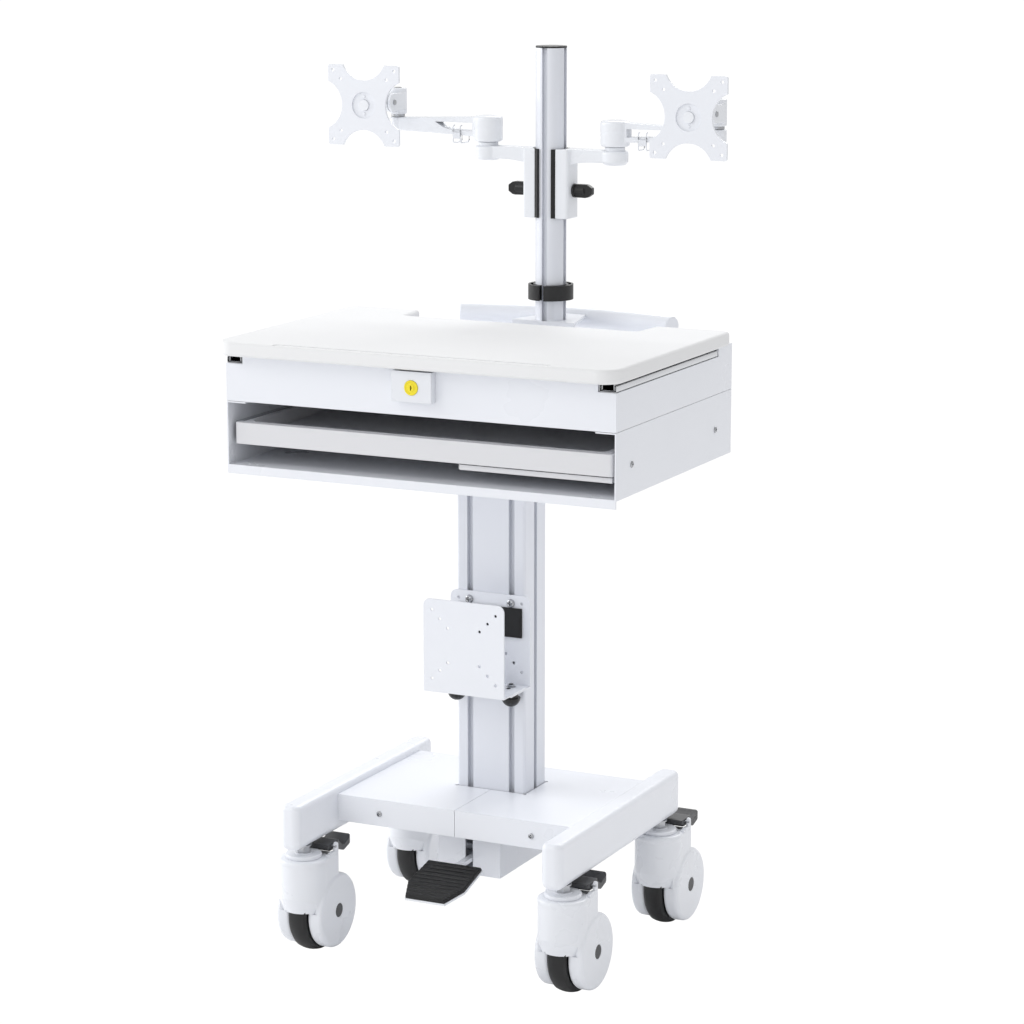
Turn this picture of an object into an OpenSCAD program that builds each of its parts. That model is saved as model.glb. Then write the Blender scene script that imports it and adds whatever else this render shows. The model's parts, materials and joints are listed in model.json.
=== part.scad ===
// Dual-monitor medication cart on four braked casters, with a height-adjustable column.
// Millimetres. Z is up and the floor is z = 0. The user stands on the -Y side.
// The origin is on the floor, under the centre of the cart's footprint.

/* [Base] */
// Distance between the left and right caster stems
caster_track = 408; // [380:1:440]
// Distance between the front and rear caster stems
caster_base = 330; // [300:1:360]
// Y of the middle of the wheelbase
base_y = -45; // [-55:1:-35]
// Tread diameter of a caster wheel
wheel_d = 122; // [110:1:126]
// Width of a caster wheel
wheel_w = 29; // [24:1:30]
// Offset of the axle behind the swivel stem
caster_trail = 36; // [34:1:38]
// Length a side rail runs past a caster stem
rail_over = 43; // [36:1:50]
// Width of a side rail
rail_w = 32; // [28:1:36]
// Underside of the side rails
rail_z = 165.5; // [165:0.5:170]
// Height of a side rail
rail_h = 66; // [60:1:70]
// Top surface of the deck covers
deck_top = 221.5; // [220:0.5:224]
// Front edge of the deck covers
deck_front = -137; // [-145:1:-125]
// Rear edge of the deck covers
deck_rear = 118; // [105:1:125]
// Height of the deck cover skirts
deck_h = 39; // [34:1:44]

/* [Column] */
// Width of the outer column
column_w = 108; // [100:1:116]
// Depth of the outer column
column_d = 70; // [66:1:76]
// Y of the column's centre
column_y = 15; // [10:1:20]
// Top end of the outer column
column_top = 708; // [700:1:710]
// Spacing of the T-slots on the wide faces
slot_pitch = 66; // [60:1:70]
// Opening of a T-slot
slot_w = 9; // [8:0.5:10]
// Stroke of the height adjustment
lift_stroke = 300; // [200:10:320]

/* [Storage box] */
// Width of the box
box_w = 591; // [560:1:600]
// Front face of the box
box_front = -247; // [-251:1:-241]
// Rear face of the box
box_rear = 152; // [145:1:155]
// Underside of the box
box_z = 712.3; // [711:0.1:714]
// Seam between the lower and the upper shell
seam_z = 803.9; // [800:0.1:806]
// Sheet thickness of the shells
sheet = 2; // [1.5:0.1:2.5]
// Underside of the worktop
top_z = 869.5; // [868:0.5:872]
// Thickness of the worktop
top_t = 20; // [18:1:24]
// Width of the worktop
top_w = 608; // [600:1:616]
// Front edge of the worktop
top_front = -270; // [-275:1:-263]
// Rear edge of the worktop
top_rear = 125; // [115:1:135]

/* [Trays] */
// Underside of the keyboard tray
tray_z = 743; // [742:1:748]
// Height of the keyboard tray
tray_h = 30; // [26:1:30]
// Width of the tray's front bar
tray_w = 575; // [560:1:578]
// Front face of the keyboard tray
tray_front = -240; // [-243:1:-235]
// Depth of the keyboard tray
tray_d = 340; // [300:5:350]

/* [Monitor mast] */
// Diameter of the mast
mast_d = 45; // [44:0.5:46]
// Y of the mast's centre
mast_y = 178; // [177:0.5:180]
// Top of the mast's cap
mast_top = 1276.5; // [1240:0.5:1280]
// Lower edge of the arm clamps
clamp_z = 1030.5; // [1000:0.5:1040]
// Height of an arm clamp
clamp_h = 100; // [90:1:110]
// X of the first knuckle
knuckle_x = 101; // [98:1:104]
// X of the monitor head's vertical pivot
head_x = 254.5; // [250:0.5:260]
// Y of the monitor head's vertical pivot
head_y = 188; // [185:1:191]
// Centre height of the monitor plates
plate_z = 1189.5; // [1185:0.5:1192]
// Front face of the monitor plates
plate_y = 81; // [74:1:85]
// Side of a monitor plate
plate_w = 120; // [116:1:124]

/* [Hidden] */

$fn = 72;
eps = 0.05;          // gap between pieces that only touch
slack = 0.3;         // gap between pieces that pass each other
rail_x = caster_track / 2;
caster_front_y = base_y - caster_base / 2;
caster_rear_y = base_y + caster_base / 2;
axle_z = wheel_d / 2;
rail_y0 = caster_front_y - rail_over;
rail_y1 = caster_rear_y + rail_over;
deck_x = rail_x - rail_w / 2;
deck_z = deck_top - deck_h;
column_front = column_y - column_d / 2;
column_z = deck_top - 8;
bore_w = 84;         // hollow of the outer column
bore_d = 46;
inner_w = 80;        // inner column
inner_d = 42;
inner_bottom = 250;
box_x = box_w / 2;
wall_x = box_x - sheet;
pivot_y = -35;       // foot pedal pivot
pivot_z = 137;
pedal_pin_r = 4;
bracket_z = 380.5;   // underside of the small-computer bracket
bracket_screw_z = bracket_z + 121;
bracket_hole_z = bracket_z + 71.6;  // middle of its hole squares
stud_y = -42.6;      // thumb knobs of that bracket
knob_x = 43;
knob_stud_r = 3;
lock_z = 844.5;
lock_r = 10.5;
slide_x = 282.2;     // centre of a worktop slide
ledge_z = 856.5;     // ledge that carries the worktop slides
slide_y0 = -245;
slide_y1 = 100;
handle_z = 874.5;
handle_y = 255;      // rear of the handle's centre line
handle_r = 542;      // bow of the handle
handle_half = 18.5;  // half of the arc, in degrees
handle_tube_r = 15;
hub_z = 1136;        // underside of the arm's hub
tilt_y = 152;        // tilt axis of a monitor head
screw_x = 120.4;     // deck screws, as far out as the photo shows them
screw_z = deck_top - 21;
side_bolt_y = [-196, 93];  // bolts that hold the tray slides to the box
side_bolt_z = 754;

// ---- helpers -------------------------------------------------------------
module box_at(x0, x1, y0, y1, z0, z1) {
    translate([x0, y0, z0]) cube([x1 - x0, y1 - y0, z1 - z0]);
}

module rounded_rect(x0, x1, y0, y1, r) {
    square_w = x1 - x0;
    square_d = y1 - y0;
    translate([x0 + r, y0]) square([square_w - 2 * r, square_d]);
    translate([x0, y0 + r]) square([square_w, square_d - 2 * r]);
    for (x = [x0 + r, x1 - r], y = [y0 + r, y1 - r]) translate([x, y]) circle(r);
}

module rounded_box(x0, x1, y0, y1, z0, z1, r) {
    translate([0, 0, z0]) linear_extrude(z1 - z0) rounded_rect(x0, x1, y0, y1, r);
}

module rod_x(x0, x1, y, z, r) {
    translate([x0, y, z]) rotate([0, 90, 0]) cylinder(h = x1 - x0, r = r);
}

module rod_y(x, y0, y1, z, r) {
    translate([x, y0, z]) rotate([-90, 0, 0]) cylinder(h = y1 - y0, r = r);
}

module rod_z(x, y, z0, z1, r) {
    translate([x, y, z0]) cylinder(h = z1 - z0, r = r);
}

module both_sides() {
    children();
    mirror([1, 0, 0]) children();
}

// Disc about a vertical axis whose rims are rounded by r_edge
module soft_disc(r, h, r_edge) {
    rotate_extrude() intersection() {
        translate([-r, 0]) rounded_rect(0, 2 * r, 0, h, r_edge);
        square([r, h]);
    }
}

// Pan-head screw pointing along -Y, head at the origin
module screw_y(x, y, z, head_r, head_h, shank_r, shank_l) {
    rod_y(x, y - head_h, y, z, head_r);
    rod_y(x, y, y + shank_l, z, shank_r);
}

// ---- base ----------------------------------------------------------------
rail_top_r = 8;
rail_low_r = 13;
rail_end_r = 11;

module rail_section() {
    half = rail_w / 2;
    translate([-half, rail_low_r]) square([rail_w, rail_h - rail_low_r - rail_top_r]);
    translate([rail_low_r - half, 0]) square([rail_w - 2 * rail_low_r, rail_h]);
    translate([rail_top_r - half, rail_low_r]) square([rail_w - 2 * rail_top_r, rail_h - rail_low_r]);
    for (s = [-1, 1]) {
        translate([s * (half - rail_low_r), rail_low_r]) circle(rail_low_r);
        translate([s * (half - rail_top_r), rail_h - rail_top_r]) circle(rail_top_r);
    }
}

// The rail seen from the side: the ends curve up from below
module rail_side() {
    translate([rail_y0, rail_low_r])
        square([rail_y1 - rail_y0, rail_h - rail_low_r - rail_top_r]);
    translate([rail_y0 + rail_low_r, 0]) square([rail_y1 - rail_y0 - 2 * rail_low_r, rail_h]);
    translate([rail_y0 + rail_top_r, rail_low_r])
        square([rail_y1 - rail_y0 - 2 * rail_top_r, rail_h - rail_low_r]);
    for (y = [rail_y0 + rail_low_r, rail_y1 - rail_low_r]) translate([y, rail_low_r]) circle(rail_low_r);
    for (y = [rail_y0 + rail_top_r, rail_y1 - rail_top_r])
        translate([y, rail_h - rail_top_r]) circle(rail_top_r);
}

module base_rail(side) {
    difference() {
        intersection() {
            translate([side * rail_x, rail_y1, rail_z]) rotate([90, 0, 0])
                linear_extrude(rail_y1 - rail_y0) rail_section();
            rounded_box(side * rail_x - rail_w / 2, side * rail_x + rail_w / 2,
                rail_y0, rail_y1, rail_z, rail_z + rail_h, rail_end_r);
            translate([side * rail_x - rail_w / 2, 0, rail_z]) rotate([90, 0, 90])
                linear_extrude(rail_w) rail_side();
        }
        for (y = [caster_front_y, caster_rear_y])
            rod_z(side * rail_x, y, rail_z - 1, rail_z + 30, stem_r + eps);
    }
}

module base_rails() {
    color("white") for (side = [-1, 1]) base_rail(side);
}

beam_d = 100;
beam_wall = 3;
module base_cross_beam() {
    beam_top = column_z;
    beam_low = deck_z + 1;
    color("lightgray") difference() {
        box_at(-deck_x + eps, deck_x - eps, column_y - beam_d / 2, column_y + beam_d / 2,
            beam_low, beam_top);
        for (s = [-1, 1]) box_at(s > 0 ? 60 : -deck_x, s > 0 ? deck_x : -60,
            column_y - beam_d / 2 + beam_wall, column_y + beam_d / 2 - beam_wall,
            beam_low + beam_wall, beam_top - beam_wall);
        box_at(-9, 9, column_y - beam_d / 2 - 1, column_y, beam_low - 1, beam_top - beam_wall - 4);
        rod_z(0, column_y, beam_low - 1, beam_top + 1, spring_r + eps);
    }
}

seam = 0.3;
module deck_cover(side) {
    mirror([side > 0 ? 0 : 1, 0, 0]) difference() {
        box_at(seam, deck_x - eps, deck_front, deck_rear, deck_z, deck_top);
        box_at(seam - 1, deck_x + 1, deck_front + sheet, deck_rear - sheet,
            deck_z - 1, deck_top - sheet);
        box_at(-1, column_w / 2 + 1, column_front - 1, column_front + column_d + 1,
            deck_z - 1, deck_top + 1);
        for (y = [column_front - 1, column_front + column_d + 1])
            rod_z(column_w / 2 + 1, y, deck_top - 9, deck_top + 1, 2.5);
        rod_y(screw_x, deck_front - 1, deck_front + sheet + 1, screw_z, 2.1);
    }
}
module deck_cover_left() { color("white") deck_cover(-1); }
module deck_cover_right() { color("white") deck_cover(1); }

// Deck screws, bracket screws and the steel nuts of the bracket's thumb knobs
module base_screws() {
    color("silver") both_sides() {
        screw_y(screw_x, deck_front - eps, screw_z, 4.2, 2.2, 2, 9);
        screw_y(slot_pitch / 2, column_front - sheet - 2 * eps, bracket_screw_z, 6, 4.5, 2.9, 8);
        nut_z = bracket_z + 2 * sheet;
        difference() {
            union() {
                rod_z(knob_x, stud_y, nut_z + 3 * eps, nut_z + 1.3, 7);
                translate([knob_x, stud_y, nut_z + 1.2]) cylinder(h = 3, r = 5, $fn = 6);
            }
            rod_z(knob_x, stud_y, bracket_z, bracket_z + 20, knob_stud_r + eps);
        }
    }
}

stem_r = 6;
king_r = 8;
hood_top = 147;
collar_top = 153;
module caster_stems() {
    color("silver") for (s = [-1, 1], y = [caster_front_y, caster_rear_y]) {
        rod_z(s * rail_x, y, collar_top, rail_z + 29, stem_r);
        rod_z(s * rail_x, y, 131, collar_top + 1, king_r);
        rod_z(s * rail_x, y, rail_z - 2, rail_z - eps, 12);
        translate([s * rail_x, y, collar_top + 1]) cylinder(h = rail_z - collar_top - 3, r = 10, $fn = 6);
    }
}

// ---- casters -------------------------------------------------------------
hood_r = 35;
cover_r = 54;
cover_x = 37;
slot_half = 16;
lever_y = 35;        // brake lever pivot, behind the stem
lever_z = 156;
cap_r = 10;
lever_pin_r = 2;
axle_r = 4;
tab_x = 29;          // inside of the two tabs that carry the lever's pin
tab_w = 4;

// Wheel cover about the axle: a thick disc with a rounded outer rim
module wheel_cover(side) {
    translate([side > 0 ? slot_half : -slot_half, caster_trail, axle_z]) rotate([0, side * 90, 0])
        rotate_extrude() {
            square([cover_r, cover_x - slot_half - 8]);
            square([cover_r - 8, cover_x - slot_half]);
            translate([cover_r - 8, cover_x - slot_half - 8]) circle(8);
        }
}

module fork_shell() {
    rod_z(0, 0, 85, hood_top - 6, hood_r);
    translate([0, 0, hood_top - 12]) soft_disc(hood_r + 0.6, 12, 5);
    translate([0, 0, 70]) rotate_extrude()
        polygon([[0, 0], [hood_r - 6, 0], [hood_r - 1, 7], [hood_r, 16], [0, 16]]);
    box_at(-hood_r, hood_r, 0, caster_trail + 0.6, 85, hood_top - 3);
    wheel_cover(-1);
    wheel_cover(1);
}

module caster_fork() {
    difference() {
        union() {
            fork_shell();
            translate([0, 0, hood_top - 1]) soft_disc(24.7, collar_top - hood_top, 2);
            for (s = [-1, 1]) {
                x0 = s > 0 ? tab_x : -tab_x - tab_w;
                box_at(x0, x0 + tab_w, lever_y - 8, lever_y, 130, lever_z);
                rod_x(x0, x0 + tab_w, lever_y - 4, lever_z, 4);
                box_at(x0, x0 + tab_w, lever_y - 4, lever_y + 1, 130, lever_z);
                rod_x(x0, x0 + tab_w, lever_y, lever_z, 4.5);
            }
        }
        rod_x(-slot_half, slot_half, caster_trail, axle_z, wheel_d / 2 + 3.5);
        rod_z(0, 0, 130, collar_top + 1, king_r + eps);
        rod_x(-cover_x + 2, cover_x - 2, caster_trail, axle_z, axle_r + eps);
        for (s = [-1, 1])
            rod_x(s > 0 ? cover_x - 2 : -cover_x - 1, s > 0 ? cover_x + 1 : -cover_x + 2,
                caster_trail, axle_z, cap_r + eps);
        rod_x(-40, 40, lever_y, lever_z, lever_pin_r + eps);
    }
    rod_x(-cover_x + 2.1, cover_x - 2.1, caster_trail, axle_z, axle_r);
    for (s = [-1, 1])
        rod_x(s > 0 ? cover_x - 1.95 : -cover_x, s > 0 ? cover_x : -cover_x + 1.95,
            caster_trail, axle_z, cap_r);
    rod_x(-32.5, 32.5, lever_y, lever_z, lever_pin_r);
}

hub_r = 46;
crown_r = 40;        // crown of the tread
module caster_wheel() {
    half = wheel_w / 2;
    translate([0, caster_trail, axle_z]) rotate([0, 90, 0]) {
        rotate_extrude() {
            tyre_r = wheel_d / 2;
            tyre_t = tyre_r - hub_r - eps;
            translate([hub_r + eps, -half + 3]) square([tyre_t - 3, wheel_w - 6]);
            translate([hub_r + eps, -half]) square([tyre_t - 6, wheel_w]);
            intersection() {
                translate([tyre_r - crown_r, 0]) circle(crown_r, $fn = 180);
                translate([tyre_r - 6, -half + 2.5]) square([6, wheel_w - 5]);
            }
        }
        rotate_extrude() {
            translate([axle_r + eps, -half]) square([10, wheel_w]);
            translate([13, -4]) square([hub_r - 18, 8]);
            translate([hub_r - 6, -half + 1]) square([6, wheel_w - 2]);
        }
    }
}

module brake_lever() {
    difference() {
        union() {
            rounded_box(-27, 27, 20, 62, lever_z - 3, lever_z + 4, 6);
            translate([0, 56, lever_z - 4]) rotate([-24, 0, 0])
                rounded_box(-19, 19, -4, 30, -3, 4, 5);
            translate([0, 82, lever_z - 12]) rotate([12, 0, 0])
                rounded_box(-19, 19, -4, 22, -5, 1, 5);
        }
        rod_x(-30, 30, lever_y, lever_z, lever_pin_r + eps);
    }
}

module at_caster(side, y) {
    translate([side * rail_x, y, 0]) children();
}
module caster_fork_front_left() { color("white") at_caster(-1, caster_front_y) caster_fork(); }
module caster_fork_front_right() { color("white") at_caster(1, caster_front_y) caster_fork(); }
module caster_fork_rear_left() { color("white") at_caster(-1, caster_rear_y) caster_fork(); }
module caster_fork_rear_right() { color("white") at_caster(1, caster_rear_y) caster_fork(); }
module caster_wheel_front_left() { color("dimgray") at_caster(-1, caster_front_y) caster_wheel(); }
module caster_wheel_front_right() { color("dimgray") at_caster(1, caster_front_y) caster_wheel(); }
module caster_wheel_rear_left() { color("dimgray") at_caster(-1, caster_rear_y) caster_wheel(); }
module caster_wheel_rear_right() { color("dimgray") at_caster(1, caster_rear_y) caster_wheel(); }
module brake_lever_front_left() { color("darkslategray") at_caster(-1, caster_front_y) brake_lever(); }
module brake_lever_front_right() { color("darkslategray") at_caster(1, caster_front_y) brake_lever(); }
module brake_lever_rear_left() { color("darkslategray") at_caster(-1, caster_rear_y) brake_lever(); }
module brake_lever_rear_right() { color("darkslategray") at_caster(1, caster_rear_y) brake_lever(); }

// ---- column and lift -------------------------------------------------------
t_slot_d = 8;
module column() {
    x1 = column_w / 2;
    y0 = column_front;
    y1 = column_front + column_d;
    color("silver") difference() {
        rounded_box(-x1, x1, y0, y1, column_z, column_top, 4);
        box_at(-bore_w / 2, bore_w / 2, column_y - bore_d / 2, column_y + bore_d / 2,
            column_z - 1, column_top + 1);
        for (s = [-1, 1]) {
            xs = s * slot_pitch / 2;
            box_at(xs - slot_w / 2, xs + slot_w / 2, y0 - 1, y0 + t_slot_d, column_z - 1, column_top + 1);
            box_at(xs - slot_w / 2, xs + slot_w / 2, y1 - t_slot_d, y1 + 1, column_z - 1, column_top + 1);
            box_at(s > 0 ? x1 - t_slot_d : -x1 - 1, s > 0 ? x1 + 1 : -x1 + t_slot_d,
                column_y - slot_w / 2, column_y + slot_w / 2, column_z - 1, column_top + 1);
        }
    }
    // Plastic glides held in the mouth of the column
    glide_t = (bore_d - inner_d) / 2 - slack;
    color("dimgray") for (s = [-1, 1]) {
        y = column_y + s * (bore_d / 2 - glide_t / 2);
        box_at(-30, 30, y - glide_t / 2 + eps, y + glide_t / 2 - eps, column_top - 80, column_top - 5);
        x = s * (bore_w / 2 - glide_t / 2);
        box_at(x - glide_t / 2 + eps, x + glide_t / 2 - eps, column_y - 14, column_y + 14,
            column_top - 80, column_top - 5);
    }
}

module inner_column() {
    color("silver") difference() {
        rounded_box(-inner_w / 2, inner_w / 2, column_y - inner_d / 2, column_y + inner_d / 2,
            inner_bottom, box_z - eps, 3);
        box_at(-inner_w / 2 + 5, inner_w / 2 - 5, column_y - inner_d / 2 + 5,
            column_y + inner_d / 2 - 5, inner_bottom - 1, box_z - 8);
    }
}

spring_r = 14;
spring_low = 150;
spring_top = 560;
spring_bore_r = 11;
spring_rod_r = 5;
module gas_spring_cylinder() {
    color("dimgray") difference() {
        union() {
            rod_z(0, column_y, spring_low, spring_top, spring_r);
            rod_z(0, column_y, column_z + eps, column_z + 5, 20);
            rod_z(0, column_y, spring_low - 6, spring_low + 1, 3);
        }
        rod_z(0, column_y, spring_low + 12, spring_top - 16, spring_bore_r);
        rod_z(0, column_y, spring_top - 17, spring_top + 1, spring_rod_r + eps);
    }
}

module gas_spring_rod() {
    color("silver") {
        rod_z(0, column_y, 190, box_z - 8 - eps, spring_rod_r);
        rod_z(0, column_y, 180, 192, spring_bore_r - slack);
    }
}

// ---- foot pedal -----------------------------------------------------------
house_x = 49.5;
house_front = -91;
house_rear = 55;
house_z = 114.5;
module pedal_housing() {
    color("white") difference() {
        box_at(-house_x, house_x, house_front, house_rear, house_z, deck_z + 1 - eps);
        box_at(-house_x + sheet, house_x - sheet, house_front + sheet, house_rear - sheet,
            house_z + sheet, deck_z + 2);
        box_at(-6, 6, house_front - 1, house_front + sheet + 1, 126, deck_z + 2);
        rod_x(-house_x - 1, house_x + 1, pivot_y, pivot_z, pedal_pin_r + eps);
    }
    color("silver") rod_x(-house_x + 0.2, house_x - 0.2, pivot_y, pivot_z, pedal_pin_r);
}

pedal_slope = 13.6;
pedal_back_y = -134;
pedal_back_z = 143.5;
module pedal_outline(inset) {
    polygon([[-42 + inset, 0 - inset], [-44 + inset, -61], [-30 + inset, -97 + inset],
        [30 - inset, -97 + inset], [44 - inset, -61], [42 - inset, 0 - inset]]);
}

module foot_pedal() {
    color("white") {
        difference() {
            union() {
                box_at(-5, 5, pedal_back_y + 4, pivot_y + 6, 134, 140);
                rod_x(-8, 8, pivot_y, pivot_z, 9);
                box_at(-5, 5, pivot_y, column_y + 6, 134, 138);
                box_at(-5, 5, pedal_back_y - 1, pedal_back_y + 6, 131, 140);
            }
            rod_x(-60, 60, pivot_y, pivot_z, pedal_pin_r + eps);
        }
        translate([0, pedal_back_y, pedal_back_z - 8]) rotate([pedal_slope, 0, 0])
            linear_extrude(3) pedal_outline(-1);
    }
}

// Ribbed rubber tread: shallow grooves run across the pad
module pedal_pad() {
    rib = 9.5;
    groove = 2;
    color("black") translate([0, pedal_back_y, pedal_back_z - 8]) rotate([pedal_slope, 0, 0])
        difference() {
            translate([0, 0, 3 + eps]) linear_extrude(6) pedal_outline(0);
            for (i = [1 : 9]) box_at(-50, 50, -i * rib - groove / 2, -i * rib + groove / 2, 7.4, 12);
        }
}

// ---- small-computer bracket -------------------------------------------------
bracket_x = 63.25;
bracket_front = -107;
module plate_holes(y0, y1, z_mid) {
    for (d = [25, 37.5, 50], sx = [-1, 1], sz = [-1, 1]) rod_y(sx * d, y0, y1, z_mid + sz * d, 2.2);
}

module bracket_plate(y0, z0, z1) {
    translate([0, y0 + sheet, 0]) rotate([90, 0, 0]) linear_extrude(sheet) {
        rounded_rect(-bracket_x, bracket_x, z0, z1, 10);
        translate([-bracket_x, z0]) square([2 * bracket_x, 20]);
    }
}

module bracket_back_plate() {
    color("white") difference() {
        union() {
            bracket_plate(column_front - sheet - eps, bracket_z, bracket_z + 133);
            box_at(-bracket_x, bracket_x, -83, column_front - sheet, bracket_z, bracket_z + sheet);
        }
        plate_holes(column_front - 20, column_front + 1, bracket_hole_z);
        for (s = [-1, 1]) {
            rod_y(s * slot_pitch / 2, column_front - 20, column_front + 1, bracket_screw_z, 3);
            rod_z(s * knob_x, stud_y, bracket_z - 1, bracket_z + 5, knob_stud_r + eps);
        }
    }
}

module bracket_pad() {
    color("black") rounded_box(-51, 51, column_front - sheet - 3 - eps,
        column_front - sheet - 2 * eps, bracket_z + 72, bracket_z + 114.5, 1);
}

// The front plate slides back on two slots, to close on a thinner computer
plate_slot_r = 3.4;
plate_travel = 12;
module bracket_front_plate() {
    z0 = bracket_z + sheet + eps;
    color("white") difference() {
        union() {
            bracket_plate(bracket_front, z0, bracket_z + 137);
            box_at(-bracket_x, bracket_x, bracket_front + 1, -34.6, z0, z0 + sheet);
        }
        plate_holes(bracket_front - 1, bracket_front + 5, bracket_hole_z);
        for (s = [-1, 1]) {
            rod_z(s * knob_x, stud_y, z0 - 1, z0 + 5, plate_slot_r);
            rod_z(s * knob_x, stud_y - plate_travel, z0 - 1, z0 + 5, plate_slot_r);
            box_at(s * knob_x - plate_slot_r, s * knob_x + plate_slot_r,
                stud_y - plate_travel, stud_y, z0 - 1, z0 + 5);
        }
    }
}

module bracket_knob(side) {
    color("black") translate([side * knob_x, stud_y, 0]) {
        rim_z = bracket_z - 11;
        ball_r = 13.5;
        difference() {
            translate([0, 0, rim_z]) sphere(ball_r);
            translate([-20, -20, rim_z]) cube([40, 40, 40]);
            translate([0, 0, rim_z - 21]) cube([40, 40, 17], center = true);
        }
        translate([0, 0, rim_z - 0.01]) cylinder(h = 10, r = 10.6);
        translate([0, 0, bracket_z - 3]) cylinder(h = 12, r = knob_stud_r);
    }
}
module bracket_knob_left() { bracket_knob(-1); }
module bracket_knob_right() { bracket_knob(1); }

// ---- storage box -----------------------------------------------------------
lip_h = 10.5;
flange_w = 28;
module storage_box() {
    shell_top = seam_z - 0.5;
    color("white") difference() {
        union() {
            difference() {
                box_at(-box_x, box_x, box_front, box_rear, box_z, shell_top);
                box_at(-wall_x, wall_x, box_front - 1, box_rear - sheet, box_z + sheet, shell_top + 1);
            }
            box_at(-box_x, box_x, box_front, box_front + sheet, box_z - lip_h, box_z + 1);
            both_sides() box_at(wall_x - flange_w, wall_x + 1, box_front, box_rear - sheet - 0.5,
                shell_top - sheet, shell_top);
        }
        for (s = [-1, 1]) {
            for (y = side_bolt_y) rod_x(s > 0 ? wall_x - 1 : -box_x - 1,
                s > 0 ? box_x + 1 : -wall_x + 1, y, side_bolt_z, 2 + eps);
            for (x = [255, 268]) rod_z(s * x, box_front + 12, box_z - 1, box_z + 3, 2);
        }
    }
}

// Folded walls with a ledge for each slide, and a flat floor sheet welded in between them
module laptop_compartment() {
    step_x = slide_x - 13.2;
    color("white") box_at(-wall_x + eps, wall_x - eps, box_front + sheet + eps,
        box_rear - sheet - eps, seam_z, seam_z + sheet);
    color("white") difference() {
        box_at(-box_x, box_x, box_front, box_rear, seam_z, top_z - slack);
        box_at(-step_x + sheet, step_x - sheet, box_front + sheet, box_rear - sheet,
            seam_z + sheet, top_z - 3.5);
        box_at(-wall_x, wall_x, box_front + sheet, box_rear - sheet, seam_z - 1, ledge_z - sheet);
        box_at(-wall_x, wall_x, slide_y1 + 4, box_rear - sheet, seam_z + sheet, top_z - 3.5);
        box_at(-step_x + sheet, step_x - sheet, box_front + sheet, 71, seam_z + sheet, top_z + 1);
        for (s = [-1, 1]) box_at(s > 0 ? step_x : -box_x - 1, s > 0 ? box_x + 1 : -step_x,
            box_front - 1, slide_y1 + 2, ledge_z, top_z + 1);
        box_at(-28, 28, box_front - 1, box_front + 3, lock_z + 15, top_z + 1);
        rod_y(0, box_front - 1, box_front + 3, lock_z, lock_r + eps);
        rounded_box(-60, 60, 95, 135, top_z - 6, top_z + 1, 8);
    }
}

module box_screws() {
    color("silver") both_sides() for (y = side_bolt_y) {
        rod_x(box_x + eps, box_x + 1.8, y, side_bolt_z, 4.5);
        rod_x(wall_x - 1.2, box_x + 1, y, side_bolt_z, 2);
    }
}

module lock_housing() {
    color("white") difference() {
        box_at(-30, 30, box_front - 13, box_front - eps, lock_z - 20, lock_z + 22);
        rod_y(0, box_front - 14, box_front + 1, lock_z, lock_r + eps);
    }
}

// Key barrel with a keyway, and the cam that catches behind the front wall
module lock_cylinder() {
    color("gold") difference() {
        union() {
            rod_y(0, box_front - 14.5, box_front + 12, lock_z, lock_r);
            box_at(0, 29, box_front + 9, box_front + 12, lock_z - 6, lock_z + 6);
        }
        box_at(-0.9, 0.9, box_front - 15, box_front - 9, lock_z - 6, lock_z + 1);
        rod_y(0, box_front - 15, box_front - 13.9, lock_z - 1.5, 4.2);
    }
}

// ---- telescopic slides ----------------------------------------------------
// Upright channel about x = 0: a base plate with a lip on each edge
module channel(half, t, z0, z1, y0, y1) {
    box_at(-half, half, y0, y1, z0, z0 + t);
    for (s = [-1, 1]) box_at(s > 0 ? half - t : -half, s > 0 ? half : -half + t, y0, y1, z0, z1);
}

module worktop_slide_fixed() {
    color("silver") both_sides() translate([slide_x, 0, 0])
        channel(12.4, 1.2, ledge_z + eps, ledge_z + 9, slide_y0, slide_y1);
}
module worktop_slide_middle() {
    color("silver") both_sides() translate([slide_x, 0, 0])
        channel(10.6, 1.1, ledge_z + 1.8, ledge_z + 8.5, slide_y0 + 1, slide_y1 - 6);
}
module worktop_slide_inner() {
    z1 = top_z - eps;
    color("silver") both_sides() translate([slide_x, 0, 0]) {
        box_at(-9, 9, slide_y0 + 1, slide_y1 - 6, z1 - 2, z1);
        for (s = [-1, 1]) box_at(s > 0 ? 7.6 : -9, s > 0 ? 9 : -7.6, slide_y0 + 1, slide_y1 - 6,
            ledge_z + 3.4, z1 - 1);
    }
}

kb_slide_z = tray_z + 15;
kb_slide_y0 = tray_front + 14;
kb_slide_y1 = tray_front + tray_d;
slide_t = 1.6;       // sheet of the tray slides
tray_body_x = 279.5; // half width of the keyboard tray behind its front bar
module keyboard_slide_fixed() {
    half = 14;
    color("gray") both_sides() difference() {
        union() {
            box_at(wall_x - slide_t, wall_x - eps, kb_slide_y0, kb_slide_y1,
                kb_slide_z - half, kb_slide_z + half);
            for (s = [-1, 1]) box_at(wall_x - 9, wall_x - 1, kb_slide_y0, kb_slide_y1,
                kb_slide_z + (s > 0 ? half - slide_t : -half),
                kb_slide_z + (s > 0 ? half : slide_t - half));
        }
        for (y = side_bolt_y) rod_x(wall_x - 2, wall_x + 1, y, side_bolt_z, 2 + eps);
    }
}
module keyboard_slide_inner() {
    half = 12;
    color("gray") both_sides() {
        box_at(tray_body_x + eps, tray_body_x + 2, kb_slide_y0, kb_slide_y1,
            kb_slide_z - half, kb_slide_z + half);
        for (s = [-1, 1]) box_at(tray_body_x + 1.5, tray_body_x + 9, kb_slide_y0, kb_slide_y1,
            kb_slide_z + (s > 0 ? half - slide_t : -half),
            kb_slide_z + (s > 0 ? half : slide_t - half));
    }
}

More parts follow.
